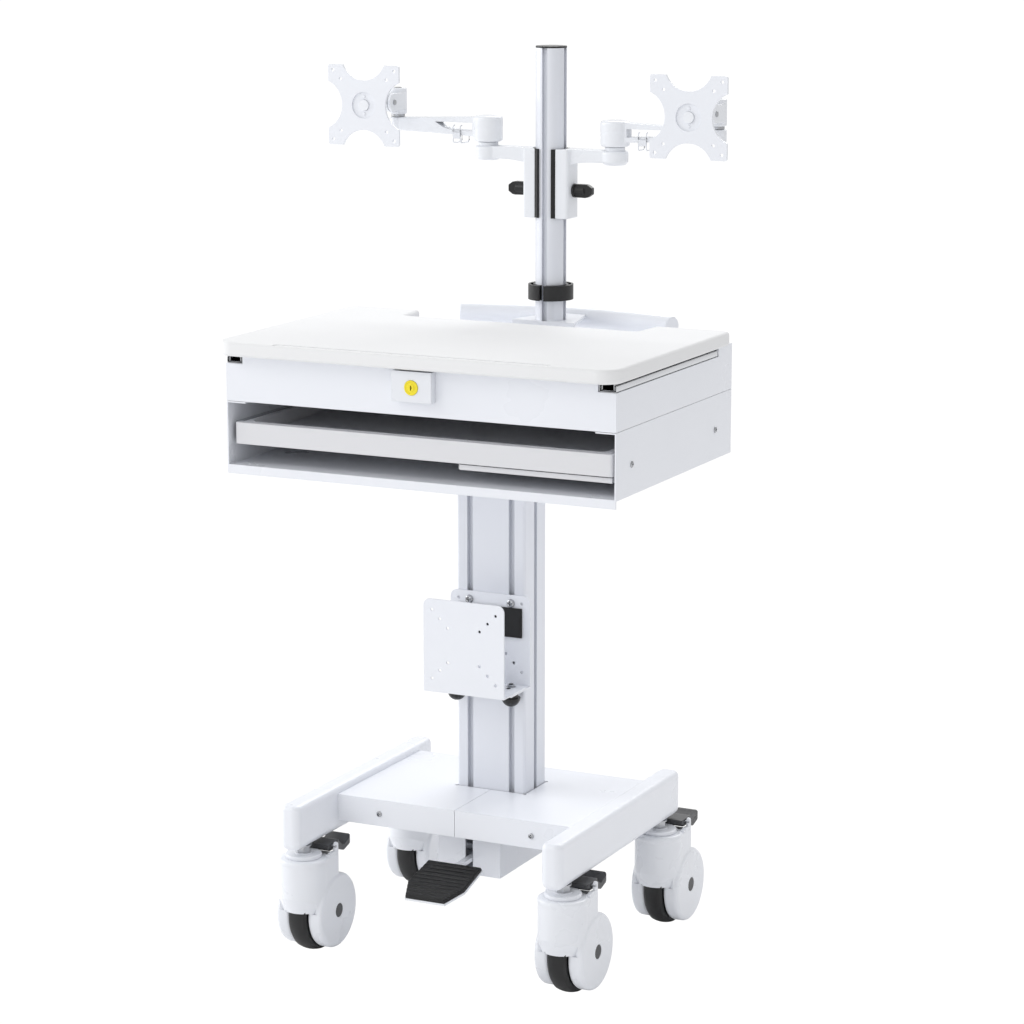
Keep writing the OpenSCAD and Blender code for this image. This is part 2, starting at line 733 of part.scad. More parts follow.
// ---- worktop and trays ------------------------------------------------------
module worktop_outline(inset) {
    r = 24;
    x1 = top_w / 2 - inset;
    difference() {
        rounded_rect(-x1, x1, top_front + inset, top_rear - inset, r - inset);
        polygon([[-184 - inset, 70 - inset], [184 + inset, 70 - inset],
            [204 + inset, top_rear + 1], [-204 - inset, top_rear + 1]]);
    }
}

module worktop() {
    color("whitesmoke") difference() {
        union() {
            translate([0, 0, top_z]) linear_extrude(3) worktop_outline(3);
            translate([0, 0, top_z + 3]) linear_extrude(top_t - 7) worktop_outline(0);
            translate([0, 0, top_z + top_t - 4]) linear_extrude(2.5) worktop_outline(1.5);
            translate([0, 0, top_z + top_t - 1.5]) linear_extrude(1.5) worktop_outline(4);
        }
        box_at(-22, 22, box_front + 6, box_front + 16, top_z - 1, top_z + 8);
        // Shallow step along the front edge, for the wrists
        box_at(-209, 209, top_front - 1, top_front + 11, top_z + top_t - 1, top_z + top_t + 1);
    }
}

tray_rim = 10;
module keyboard_tray() {
    body_x = tray_body_x;
    y1 = kb_slide_y1;
    color("gainsboro") {
        difference() {
            union() {
                rounded_box(-tray_w / 2, tray_w / 2, tray_front, tray_front + 13,
                    tray_z, tray_z + tray_h, 5);
                box_at(-body_x, body_x, tray_front + 6, y1, tray_z, tray_z + tray_h);
            }
            rounded_box(-body_x + tray_rim, body_x - tray_rim, tray_front + 16, y1 - tray_rim,
                tray_z + 12, tray_z + tray_h + 1, 8);
            box_at(-body_x + 6, body_x - 6, tray_front + 16, y1 - 6, tray_z - 1, tray_z + 8);
        }
        // Runners of the mouse tray, moulded under the keyboard tray
        for (x = [mouse_x0 - 2.4, mouse_x1 - 1.6]) difference() {
            groove = x < mouse_x1 / 2 ? 2 : -2;
            box_at(x, x + 4.5, mouse_front + 11, mouse_front + 230, mouse_z - 2.5, tray_z + 9);
            box_at(x + groove, x + groove + 4, mouse_front, mouse_front + 231,
                mouse_z - slack, mouse_z + mouse_t + slack);
        }
        box_at(mouse_x0 - 0.4, mouse_x1 + 0.4, mouse_front + 232, mouse_front + 236,
            mouse_z, tray_z + 9);
    }
}

mouse_z = 734;
mouse_t = 7;
mouse_front = -236;
mouse_x0 = 58.4;
mouse_x1 = 276.6;
mouse_bar_x1 = 285;  // the front bar runs past the slab on the right
module mouse_tray() {
    color("lightgray") {
        box_at(mouse_x0, mouse_x1, mouse_front + 8, mouse_front + 228, mouse_z, mouse_z + mouse_t);
        translate([0, 0, mouse_z]) linear_extrude(mouse_t)
            polygon([[61, mouse_front], [mouse_bar_x1, mouse_front],
                [mouse_bar_x1, mouse_front + 9], [57, mouse_front + 9], [57, mouse_front + 4]]);
    }
}

// ---- mast, ring, handle ----------------------------------------------------
mast_low = 735;
module mast() {
    color("silver") translate([0, mast_y, 0]) difference() {
        rod_z(0, 0, mast_low, mast_top - 2.5, mast_d / 2);
        rod_z(0, 0, mast_low - 1, mast_top, 8);
        for (a = [0, 90, 180, 270]) rotate([0, 0, a]) {
            box_at(-4, 4, -mast_d, -mast_d / 2 + 6, mast_low - 1, mast_top);
        }
    }
}

module mast_cap() {
    color("black") translate([0, mast_y, 0]) {
        rod_z(0, 0, mast_top - 2.5 + eps, mast_top, mast_d / 2);
        rod_z(0, 0, mast_top - 20, mast_top - 2, 8 - eps);
    }
}

ring_z = 911.5;
module cable_ring() {
    color("black") translate([0, mast_y, ring_z]) difference() {
        union() {
            difference() {
                cylinder(h = 22, r = 33);
                translate([0, 0, -1]) cylinder(h = 30, r = 29.6);
            }
            difference() {
                cylinder(h = 22, r = 25.5);
                translate([0, 0, -1]) cylinder(h = 30, r = mast_d / 2 + eps);
            }
            for (a = [0, 90, 180]) rotate([0, 0, a]) box_at(25, 30, -2.5, 2.5, 0, 22);
        }
        rotate([0, 0, -90]) box_at(20, 40, -3.5, 3.5, -1, 23);
    }
}

module handle_solid(r) {
    translate([0, handle_y - handle_r, handle_z]) rotate([0, 0, 90 - handle_half])
        rotate_extrude(angle = 2 * handle_half) translate([handle_r, 0]) circle(r);
}

module handle_bar() {
    color("white") handle_solid(handle_tube_r);
}

// Bracket behind the box: it holds the mast in a bore and carries the handle
module mast_bracket() {
    plate_z0 = handle_z + 3;
    color("white") difference() {
        union() {
            box_at(-50, 50, box_rear + eps, box_rear + 4, 740, plate_z0 + 4);
            box_at(-34, 34, box_rear + 3, mast_y + 28, 740, 860);
            translate([0, 0, plate_z0]) linear_extrude(4)
                polygon([[-50, box_rear + eps], [50, box_rear + eps], [26, 245], [-26, 245]]);
        }
        translate([0, mast_y, 730]) cylinder(h = 200, r = mast_d / 2 + eps);
        handle_solid(handle_tube_r + eps);
    }
}

// ---- monitor arms: built on the right, mirrored for the left -----------------
clamp_screw_z = clamp_z + 40;
knuckle_r = 8;       // upright pin of the clamp, in the arm's hub
pivot_r = 5;         // pin of the monitor head, in the arm's end
fork_half = 8;       // inside of the head's fork
fork_t = 5;
tilt_pin_r = 4;
spigot_r = 8;        // spigot on which a monitor plate turns
module on_side(side) {
    mirror([side > 0 ? 0 : 1, 0, 0]) children();
}

module clamp_body() {
    pad_r = 26;
    z1 = clamp_z + clamp_h;
    difference() {
        union() {
            rounded_box(14.4, 36, mast_y - 19, mast_y + 17, clamp_z, z1, 4);
            box_at(30, knuckle_x, mast_y - 15, mast_y + 13, z1 - 17, z1);
            translate([knuckle_x, mast_y, z1 - 17]) cylinder(h = 17, r = 19.5);
            translate([knuckle_x, mast_y, z1 - 21]) soft_disc(17, 8, 3);
            rod_z(knuckle_x, mast_y, z1 - 1, hub_z - 0.4, 14.5);
            rod_z(knuckle_x, mast_y, z1 - 1, hub_z + 30, knuckle_r);
        }
        translate([0, mast_y, clamp_z - 1]) cylinder(h = clamp_h + 2, r = pad_r);
        rod_x(10, 40, mast_y, clamp_screw_z, 3.2);
    }
    // Rubber liner against the mast
    intersection() {
        translate([0, mast_y, clamp_z + 1]) difference() {
            cylinder(h = clamp_h - 2, r = pad_r - eps);
            translate([0, 0, -1]) cylinder(h = clamp_h, r = mast_d / 2 + eps);
            rod_x(10, 40, 0, clamp_screw_z - clamp_z - 1, 3.4);
        }
        box_at(9.1, 30, mast_y - 30, mast_y + 30, clamp_z, z1);
    }
}

module clamp_knob() {
    z = clamp_screw_z;
    color("black") {
        rod_x(18.5, 40, mast_y, z, 3);
        rod_x(36.3, 39.6, mast_y, z, 10);
        rod_x(39, 56, mast_y, z, 7.5);
        translate([0, mast_y + 5, z]) rotate([90, 0, 0]) linear_extrude(10)
            polygon([[39, -10], [57, -10], [67, -5], [67, 5], [57, 10], [39, 10]]);
    }
}

arm_dx = head_x - knuckle_x;
arm_dy = head_y - mast_y;
arm_l = norm([arm_dx, arm_dy]);
module monitor_arm() {
    z0 = hub_z;
    color("white") {
        translate([knuckle_x, mast_y, 0]) rotate([0, 0, atan2(arm_dy, arm_dx)]) {
            difference() {
                union() {
                    translate([0, 0, z0]) soft_disc(21.3, 37.5, 2.5);
                    translate([0, 11, z0]) rotate([90, 0, 0]) linear_extrude(22)
                        polygon([[0, 6], [20, 7], [arm_l, 10.5], [arm_l, 29.5], [20, 35], [0, 35]]);
                    translate([arm_l, 0, z0 + 10.5]) soft_disc(13, 19, 2);
                }
                translate([0, 15, z0]) rotate([90, 0, 0]) linear_extrude(30)
                    polygon([[19, 14], [58, 15], [80, 24], [70, 25.5], [19, 26]]);
                rod_z(0, 0, z0 - 1, z0 + 31, knuckle_r + eps);
                rod_z(arm_l, 0, z0 + 5, z0 + 40, pivot_r + eps);
            }
            // Cable clip hooked under the lower bar of the window
            difference() {
                box_at(38, 54, -12.5, 12.5, z0 - 3, z0 + 13);
                box_at(36, 56, -10.5, 10.5, z0 - 1.5, z0 + 14);
            }
        }
    }
}

module monitor_head() {
    z0 = hub_z + 34;
    z1 = z0 + 38.5;
    color("white") difference() {
        union() {
            translate([head_x, head_y, z0]) soft_disc(13, z1 - z0, 2);
            rod_z(head_x, head_y, hub_z + 13, z0 + 1, pivot_r);
            rod_z(head_x, head_y, hub_z + 30.5, z0 + 3, 2 * pivot_r);
            for (s = [-1, 1]) {
                x0 = head_x + (s > 0 ? fork_half : -fork_half - fork_t);
                box_at(x0, x0 + fork_t, tilt_y, head_y, z0 + 7, z1 - 7);
                rod_x(x0, x0 + fork_t, tilt_y, plate_z, 13.5);
            }
        }
        rod_x(head_x - 20, head_x + 20, tilt_y, plate_z, tilt_pin_r + eps);
        rod_x(head_x - fork_half, head_x + fork_half, tilt_y, plate_z, 15.5);
        box_at(head_x - fork_half, head_x + fork_half, tilt_y - 20, tilt_y,
            plate_z - 15.5, plate_z + 15.5);
    }
}

module tilt_hub() {
    back = plate_y + 4;
    color("white") {
        rod_x(head_x - 7.6, head_x + 7.6, tilt_y, plate_z, 14);
        rod_y(head_x, back + 8, tilt_y, plate_z, 7);
        rod_y(head_x, back + 2, back + 10, plate_z, 19);
        rod_y(head_x, plate_y - 1, back + 3, plate_z, spigot_r);
        rod_x(head_x - 14.5, head_x + 14.5, tilt_y, plate_z, tilt_pin_r);
    }
}

module monitor_plate() {
    cut_r = 36.5;
    cut_at = 72;
    half = plate_w / 2;
    color("white") translate([head_x, plate_y, plate_z]) rotate([-90, 0, 0]) difference() {
        union() {
            linear_extrude(3.5) difference() {
                rounded_rect(-half, half, -half, half, 4);
                for (a = [0, 90, 180, 270]) rotate(a) translate([cut_at, 0]) circle(cut_r, $fn = 128);
            }
            translate([0, 0, 3]) cylinder(h = 2.8, r = 20);
        }
        translate([0, 0, -1]) cylinder(h = 3.4, r = 19);
        translate([0, 0, -1]) cylinder(h = 10, r = spigot_r + eps);
        for (d = [37.5, 50], sx = [-1, 1], sy = [-1, 1])
            translate([sx * d, sy * d, -1]) cylinder(h = 6, r = 2.5);
        for (s = [-1, 1]) translate([0, s * 12, -1]) cylinder(h = 10, r = 1.6);
    }
}

module clamp_left() { color("white") on_side(-1) clamp_body(); }
module clamp_right() { color("white") on_side(1) clamp_body(); }
module clamp_knob_left() { on_side(-1) clamp_knob(); }
module clamp_knob_right() { on_side(1) clamp_knob(); }
module monitor_arm_left() { on_side(-1) monitor_arm(); }
module monitor_arm_right() { on_side(1) monitor_arm(); }
module monitor_head_left() { on_side(-1) monitor_head(); }
module monitor_head_right() { on_side(1) monitor_head(); }
module tilt_hub_left() { on_side(-1) tilt_hub(); }
module tilt_hub_right() { on_side(1) tilt_hub(); }
module monitor_plate_left() { on_side(-1) monitor_plate(); }
module monitor_plate_right() { on_side(1) monitor_plate(); }

base_rails();
base_cross_beam();
deck_cover_left();
deck_cover_right();
base_screws();
column();
pedal_housing();
gas_spring_cylinder();
bracket_back_plate();
bracket_pad();
caster_stems();
foot_pedal();
pedal_pad();
bracket_front_plate();
bracket_knob_left();
bracket_knob_right();
inner_column();
gas_spring_rod();
storage_box();
laptop_compartment();
box_screws();
lock_housing();
worktop_slide_fixed();
keyboard_slide_fixed();
mast();
mast_cap();
cable_ring();
mast_bracket();
handle_bar();
lock_cylinder();
worktop();
worktop_slide_inner();
worktop_slide_middle();
keyboard_tray();
keyboard_slide_inner();
mouse_tray();
caster_fork_front_left();
caster_fork_front_right();
caster_fork_rear_left();
caster_fork_rear_right();
caster_wheel_front_left();
caster_wheel_front_right();
caster_wheel_rear_left();
caster_wheel_rear_right();
brake_lever_front_left();
brake_lever_front_right();
brake_lever_rear_left();
brake_lever_rear_right();
clamp_left();
clamp_right();
clamp_knob_left();
clamp_knob_right();
monitor_arm_left();
monitor_arm_right();
monitor_head_left();
monitor_head_right();
tilt_hub_left();
tilt_hub_right();
monitor_plate_left();
monitor_plate_right();
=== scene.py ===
import json
import math

import bmesh
import bpy
from mathutils import Matrix, Vector


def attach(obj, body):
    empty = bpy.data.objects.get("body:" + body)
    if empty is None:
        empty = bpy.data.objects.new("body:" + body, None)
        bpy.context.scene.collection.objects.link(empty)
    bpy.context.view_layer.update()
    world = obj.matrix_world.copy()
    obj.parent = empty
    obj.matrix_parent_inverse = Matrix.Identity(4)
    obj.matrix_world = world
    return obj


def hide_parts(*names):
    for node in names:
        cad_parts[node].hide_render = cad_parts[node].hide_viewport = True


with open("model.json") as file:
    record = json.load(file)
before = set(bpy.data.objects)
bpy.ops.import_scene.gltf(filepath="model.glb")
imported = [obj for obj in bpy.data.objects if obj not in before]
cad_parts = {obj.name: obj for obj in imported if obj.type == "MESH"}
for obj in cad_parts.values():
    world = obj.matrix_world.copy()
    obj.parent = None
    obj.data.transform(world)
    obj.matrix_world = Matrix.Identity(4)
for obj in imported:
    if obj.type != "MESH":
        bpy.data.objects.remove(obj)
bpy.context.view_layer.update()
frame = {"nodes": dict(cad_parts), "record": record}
NODES = frame["nodes"]
MM = 0.001
SIDES = (("left", -1), ("right", 1))


# ---- materials ---------------------------------------------------------------
CLOUD_SCALE, ROUGH_SPREAD, BUMP_STRENGTH = 9.0, 0.04, 0.35
# The two recess constants set the reach and the open share of the painted shade that ambient occlusion
# puts into colours in recesses.
EDGE_RADIUS, PAINTED_SHADE_REACH, PAINTED_SHADE_OPEN = 0.0006, 0.02, 0.5      # metres, metres, open share


def new_material(name, color, rough, metallic=0.0, grain=None, wear=0.0, painted_recess_shade=0.0, gloss=0.5):
    """Principled shader whose roughness and tone vary a little by noise, with softened edges.
    grain = (scale, height, stretch) is a fine bump, painted_recess_shade is painted shade that darkens
    the colour of deep recesses found by ambient occlusion, and gloss is the specular level."""
    mat = bpy.data.materials.new(name)
    mat.use_nodes = True
    tree = mat.node_tree
    node, link = tree.nodes, tree.links
    shader = node["Principled BSDF"]
    shader.inputs["Metallic"].default_value = metallic
    shader.inputs["Specular IOR Level"].default_value = gloss
    coords = node.new("ShaderNodeTexCoord")
    cloud = node.new("ShaderNodeTexNoise")
    cloud.inputs["Scale"].default_value = CLOUD_SCALE
    cloud.inputs["Detail"].default_value = 4.0
    link.new(coords.outputs["Object"], cloud.inputs["Vector"])
    spread = node.new("ShaderNodeMapRange")
    spread.inputs["From Min"].default_value = 0.3
    spread.inputs["From Max"].default_value = 0.7
    spread.inputs["To Min"].default_value = rough - ROUGH_SPREAD
    spread.inputs["To Max"].default_value = rough + ROUGH_SPREAD
    link.new(cloud.outputs["Fac"], spread.inputs["Value"])
    link.new(spread.outputs["Result"], shader.inputs["Roughness"])
    tone = node.new("ShaderNodeMix")
    tone.data_type = "RGBA"
    tone.inputs["A"].default_value = (*color, 1.0)
    tone.inputs["B"].default_value = (*(c * (1.0 - wear) for c in color), 1.0)
    link.new(cloud.outputs["Fac"], tone.inputs["Factor"])
    surface = tone.outputs["Result"]
    # Painted shade: ambient occlusion darkens the base colour in recesses, corners and between parts,
    # where shade would fall.
    if painted_recess_shade:
        recess = node.new("ShaderNodeAmbientOcclusion")
        recess.samples = 6
        recess.inputs["Distance"].default_value = PAINTED_SHADE_REACH
        reach = node.new("ShaderNodeMapRange")
        reach.interpolation_type = "SMOOTHSTEP"
        reach.inputs["From Min"].default_value = 0.0
        reach.inputs["From Max"].default_value = PAINTED_SHADE_OPEN
        link.new(recess.outputs["AO"], reach.inputs["Value"])
        deep = node.new("ShaderNodeMix")
        deep.data_type = "RGBA"
        deep.inputs["A"].default_value = (*(c * (1.0 - painted_recess_shade) for c in color), 1.0)
        link.new(reach.outputs["Result"], deep.inputs["Factor"])
        link.new(surface, deep.inputs["B"])
        surface = deep.outputs["Result"]
    link.new(surface, shader.inputs["Base Color"])
    bevel = node.new("ShaderNodeBevel")
    bevel.samples = 4
    bevel.inputs["Radius"].default_value = EDGE_RADIUS
    normal = bevel.outputs["Normal"]
    if grain:
        scale, height, stretch = grain
        stretched = node.new("ShaderNodeMapping")
        stretched.inputs["Scale"].default_value = stretch
        link.new(coords.outputs["Object"], stretched.inputs["Vector"])
        fine = node.new("ShaderNodeTexNoise")
        fine.inputs["Scale"].default_value = scale
        fine.inputs["Detail"].default_value = 2.0
        link.new(stretched.outputs["Vector"], fine.inputs["Vector"])
        bump = node.new("ShaderNodeBump")
        bump.inputs["Strength"].default_value = BUMP_STRENGTH
        bump.inputs["Distance"].default_value = height
        link.new(fine.outputs["Fac"], bump.inputs["Height"])
        link.new(normal, bump.inputs["Normal"])
        normal = bump.outputs["Normal"]
    link.new(normal, shader.inputs["Normal"])
    return mat


PEEL = (420.0, 0.00006, (1, 1, 1))
FINE = (1500.0, 0.00005, (1, 1, 1))
DRAWN = (260.0, 0.00004, (6, 6, 0.05))
ROLLED = (260.0, 0.00004, (6, 0.05, 6))
WHITE, CAST = (0.835, 0.855, 0.905), (0.845, 0.865, 0.905)
# Where a material below has a recess-shade value, shade is painted into its colour in recesses and
# corners.
MATERIALS = {
    "white_paint": new_material("white_paint", WHITE, 0.3, grain=PEEL, wear=0.015, painted_recess_shade=0.3),
    "white_cast": new_material("white_cast", CAST, 0.28, grain=PEEL, wear=0.015, painted_recess_shade=0.3),
    "white_plastic": new_material("white_plastic", (0.80, 0.82, 0.865), 0.28, grain=PEEL, wear=0.02,
                                  painted_recess_shade=0.3),
    "worktop_plastic": new_material("worktop_plastic", (0.83, 0.835, 0.845), 0.8, grain=FINE,
                                    wear=0.015, painted_recess_shade=0.3, gloss=0.1),
    "tray_plastic": new_material("tray_plastic", (0.72, 0.725, 0.75), 0.5, grain=FINE, wear=0.02,
                                 painted_recess_shade=0.3),
    "anodised_aluminium": new_material("anodised_aluminium", (0.77, 0.79, 0.845), 0.4, 0.25, DRAWN,
                                       0.02, painted_recess_shade=0.3),
    "zinc_steel": new_material("zinc_steel", (0.50, 0.51, 0.53), 0.3, 1.0, FINE, 0.06),
    "chrome_screws": new_material("chrome_screws", (0.45, 0.46, 0.48), 0.16, 1.0, None, 0.04,
                                  painted_recess_shade=0.7),
    "slide_steel": new_material("slide_steel", (0.60, 0.61, 0.63), 0.22, 1.0, ROLLED, 0.05,
                                painted_recess_shade=0.6),
    "black_plastic": new_material("black_plastic", (0.008, 0.008, 0.0085), 0.38, grain=FINE, wear=0.1),
    "black_rubber": new_material("black_rubber", (0.0045, 0.0045, 0.005), 0.55, grain=FINE, wear=0.1),
    "grey_plastic": new_material("grey_plastic", (0.042, 0.043, 0.046), 0.42, grain=FINE, wear=0.08),
    "wheel_rubber": new_material("wheel_rubber", (0.0055, 0.0055, 0.006), 0.45, grain=FINE, wear=0.12),
    "spring_steel": new_material("spring_steel", (0.02, 0.02, 0.022), 0.3, grain=FINE, wear=0.1),
    "lock_brass": new_material("lock_brass", (0.95, 0.80, 0.05), 0.3, 0.55, None, 0.05, painted_recess_shade=0.5),
}
for part in frame["record"]["subparts"]:
    cad = NODES[part["node"]]
    cad.data.materials.clear()
    cad.data.materials.append(MATERIALS[part["material_slot"]])


# ---- mesh helpers (millimetres in, metres out) -----------------------------------
FRONT = Matrix(((1, 0, 0, 0), (0, 0, -1, 0), (0, 1, 0, 0), (0, 0, 0, 1)))   # XY outline to XZ


def matrix_to(origin, axis):
    """Matrix whose local Z runs along axis and whose origin is at origin."""
    turn = Vector(axis).normalized().to_track_quat("Z", "Y").to_matrix().to_4x4()
    return Matrix.Translation(Vector(origin)) @ turn


def add_box(bm, x0, x1, y0, y1, z0, z1):
    at = Matrix.Translation(((x0 + x1) / 2, (y0 + y1) / 2, (z0 + z1) / 2))
    size = Matrix.Diagonal((x1 - x0, y1 - y0, z1 - z0, 1))
    bmesh.ops.create_cube(bm, size=1, matrix=at @ size)


def circle(m, r, h, seg):
    """Points of a circle of radius r at height h along the axis of m."""
    return [m @ Vector((r * math.cos(2 * math.pi * i / seg), r * math.sin(2 * math.pi * i / seg), h))
            for i in range(seg)]


def add_lathe(bm, profile, origin=(0, 0, 0), axis=(0, 0, 1), seg=64):
    """Revolves (radius, height) points about axis; the first and last lie on the axis."""
    m = matrix_to(origin, axis)
    rings = []
    for r, h in profile:
        if r < 1e-6:
            rings.append([bm.verts.new(m @ Vector((0, 0, h)))])
        else:
            rings.append([bm.verts.new(p) for p in circle(m, r, h, seg)])
    for a, b in zip(rings, rings[1:]):
        for i in range(seg):
            j = (i + 1) % seg
            loop = [a[i % len(a)], a[j % len(a)], b[j % len(b)], b[i % len(b)]]
            face = list(dict.fromkeys(loop))
            if len(face) > 2:
                bm.faces.new(face)


def add_ring(bm, loop, origin, axis, seg):
    """Revolves a closed loop of (radius, height) points, which stays off the axis."""
    m = matrix_to(origin, axis)
    rows = [[bm.verts.new(p) for p in circle(m, r, h, seg)] for r, h in loop]
    for a, b in zip(rows, rows[1:] + rows[:1]):
        for i in range(seg):
            j = (i + 1) % seg
            bm.faces.new((a[i], a[j], b[j], b[i]))


def add_rod(bm, p0, p1, r, r1=None, seg=48):
    """Closed cylinder or cone from p0 to p1."""
    p0, p1 = Vector(p0), Vector(p1)
    h = (p1 - p0).length
    add_lathe(bm, [(0, 0), (r, 0), (r if r1 is None else r1, h), (0, h)], p0, p1 - p0, seg)


def soft_profile(r, h, edge, steps=5):
    """Disc profile whose two rims are rounded by edge."""
    low = [(r - edge + edge * math.sin(t), edge - edge * math.cos(t))
           for t in (math.pi / 2 * k / steps for k in range(steps + 1))]
    high = [(x, h - z) for x, z in reversed(low)]
    return [(0, 0)] + low + high + [(0, h)]


def add_prism(bm, outline, m, height):
    """Extrudes an outline along local Z of m by height."""
    low = [bm.verts.new(m @ Vector((x, y, 0))) for x, y in outline]
    high = [bm.verts.new(m @ Vector((x, y, height))) for x, y in outline]
    bm.faces.new(list(reversed(low)))
    bm.faces.new(high)
    n = len(outline)
    for i in range(n):
        j = (i + 1) % n
        bm.faces.new((low[i], low[j], high[j], high[i]))


def add_sweep(bm, path, r, seg=24):
    """Round bar of radius r along a path, with flat ends."""
    path = [Vector(p) for p in path]
    rings = []
    for i, p in enumerate(path):
        ahead = (path[min(i + 1, len(path) - 1)] - path[max(i - 1, 0)]).normalized()
        side = ahead.cross(Vector((0, 0, 1)))
        side = side.normalized() if side.length > 1e-4 else Vector((1, 0, 0))
        up = side.cross(ahead).normalized()
        rings.append([bm.verts.new(p + (side * math.cos(2 * math.pi * k / seg)
                                       + up * math.sin(2 * math.pi * k / seg)) * r)
                      for k in range(seg)])
    for a, b in zip(rings, rings[1:]):
        for k in range(seg):
            j = (k + 1) % seg
            bm.faces.new((a[k], a[j], b[j], b[k]))
    bm.faces.new(rings[0][::-1])
    bm.faces.new(rings[-1])


def add_skin(bm, sections):
    """Solid through sections that have the same number of points each."""
    rings = [[bm.verts.new(p) for p in section] for section in sections]
    n = len(rings[0])
    for a, b in zip(rings, rings[1:]):
        for k in range(n):
            bm.faces.new((a[k], a[(k + 1) % n], b[(k + 1) % n], b[k]))
    bm.faces.new(rings[0])
    bm.faces.new(rings[-1][::-1])


def ribbon(path, t):
    """Outline of a strip of sheet of thickness t that follows path."""
    pts = [Vector(p) for p in path]
    sides = []
    for i, p in enumerate(pts):
        before = (p - pts[i - 1]).normalized() if i else None
        after = (pts[i + 1] - p).normalized() if i + 1 < len(pts) else None
        a, b = before or after, after or before
        mitre = Vector((-(a + b).y, (a + b).x)).normalized()
        reach = t / 2 / max(0.3, mitre.dot(Vector((-b.y, b.x))))
        sides.append((p + mitre * reach, p - mitre * reach))
    return [tuple(a) for a, _ in sides] + [tuple(b) for _, b in reversed(sides)]


def arc(cx, cy, r, a0, a1, n=10):
    return [(cx + r * math.cos(math.radians(a0 + (a1 - a0) * i / n)),
             cy + r * math.sin(math.radians(a0 + (a1 - a0) * i / n))) for i in range(n + 1)]


def baked(obj):
    """Applies the modifiers of obj."""
    deps = bpy.context.evaluated_depsgraph_get()
    mesh = bpy.data.meshes.new_from_object(obj.evaluated_get(deps))
    old = obj.data
    obj.modifiers.clear()
    obj.data = mesh
    mesh.name = obj.name
    bpy.data.meshes.remove(old)
    return obj


def shade(obj, sharp=40):
    """Smooth faces, with creases where two faces meet at more than sharp degrees."""
    obj.data.polygons.foreach_set("use_smooth", [True] * len(obj.data.polygons))
    obj.data.set_sharp_from_angle(angle=math.radians(sharp))
    obj.data.update()


def add_bevel(obj, width, seg, angle):
    mod = obj.modifiers.new("bevel", "BEVEL")
    mod.width = width * MM
    mod.segments = seg
    mod.limit_method = "ANGLE"
    mod.angle_limit = math.radians(angle)


def make(name, bm, bevel=0.0, seg=3, angle=40, voxel=0.0, smooth=0, mirror=False, sharp=40):
    """Turns bm into an object in metres. voxel fuses overlapping solids; smooth rounds them."""
    bmesh.ops.recalc_face_normals(bm, faces=bm.faces)
    bmesh.ops.scale(bm, vec=(-MM if mirror else MM, MM, MM), verts=bm.verts)
    if mirror:
        bmesh.ops.reverse_faces(bm, faces=bm.faces)
    mesh = bpy.data.meshes.new(name)
    bm.to_mesh(mesh)
    bm.free()
    obj = bpy.data.objects.new(name, mesh)
    bpy.context.scene.collection.objects.link(obj)
    if voxel:
        mod = obj.modifiers.new("fuse", "REMESH")
        mod.mode = "VOXEL"
        mod.voxel_size = voxel * MM
    if smooth:
        mod = obj.modifiers.new("smooth", "SMOOTH")
        mod.factor = 0.5
        mod.iterations = smooth
    if bevel:
        add_bevel(obj, bevel, seg, angle)
    if obj.modifiers:
        baked(obj)
    shade(obj, sharp)
    return obj


def joined(name, parts):
    """One object from several, which are used up."""
    bm = bmesh.new()
    for part in parts:
        bm.from_mesh(part.data)
        bpy.data.objects.remove(part)
    mesh = bpy.data.meshes.new(name)
    bm.to_mesh(mesh)
    bm.free()
    obj = bpy.data.objects.new(name, mesh)
    bpy.context.scene.collection.objects.link(obj)
    shade(obj)
    return obj


def cut(obj, bm, mirror=False, sharp=40):
    """Takes the closed solids in bm away from obj."""
    tool = make("tool", bm, mirror=mirror)
    mod = obj.modifiers.new("cut", "BOOLEAN")
    mod.operation = "DIFFERENCE"
    mod.solver = "EXACT"
    mod.use_self = True
    mod.object = tool
    baked(obj)
    bpy.data.objects.remove(tool)
    shade(obj, sharp)
    return obj


def dress(obj, body, slot, nodes=()):
    """Final normals, material, body and slot of a piece, and the CAD nodes that it replaces."""
    mod = obj.modifiers.new("flat_faces", "WEIGHTED_NORMAL")
    mod.keep_sharp = True
    mod.weight = 100
    baked(obj)
    obj.data.materials.clear()
    obj.data.materials.append(MATERIALS[slot])
    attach(obj, body)
    if nodes:
        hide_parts(*nodes)
    return obj


def copy_at(obj, name, offset):
    """A copy of obj with a mesh of its own, moved by offset in millimetres."""
    twin = bpy.data.objects.new(name, obj.data.copy())
    bpy.context.scene.collection.objects.link(twin)
    twin.data.transform(Matrix.Translation(Vector(offset) * MM))
    return twin


# ---- screws --------------------------------------------------------------------------
def cross_screw(head_at, axis, head_r, head_h, shank_r, shank_l):
    """Pan-head screw with a cross recess; axis points out of the head."""
    m = matrix_to(head_at, axis)
    bm = bmesh.new()
    dome = [(head_r * math.cos(a), head_h * (0.35 + 0.65 * math.sin(a)))
            for a in (math.pi / 2 * k / 6 for k in range(6))]
    add_lathe(bm, [(0, 0), (head_r, 0)] + dome + [(0, head_h)], head_at, axis, 32)
    add_rod(bm, m @ Vector((0, 0, -shank_l)), m @ Vector((0, 0, 0.2)), shank_r, seg=24)
    screw = make("screw", bm)
    bm = bmesh.new()
    arm, slot = head_r * 0.62, head_r * 0.15
    for x, y in ((arm, slot), (slot, arm)):
        block = Matrix.Translation((0, 0, head_h)) @ Matrix.Diagonal((2 * x, 2 * y, head_h * 1.3, 1))
        bmesh.ops.create_cube(bm, size=1, matrix=m @ block)
    return cut(screw, bm)


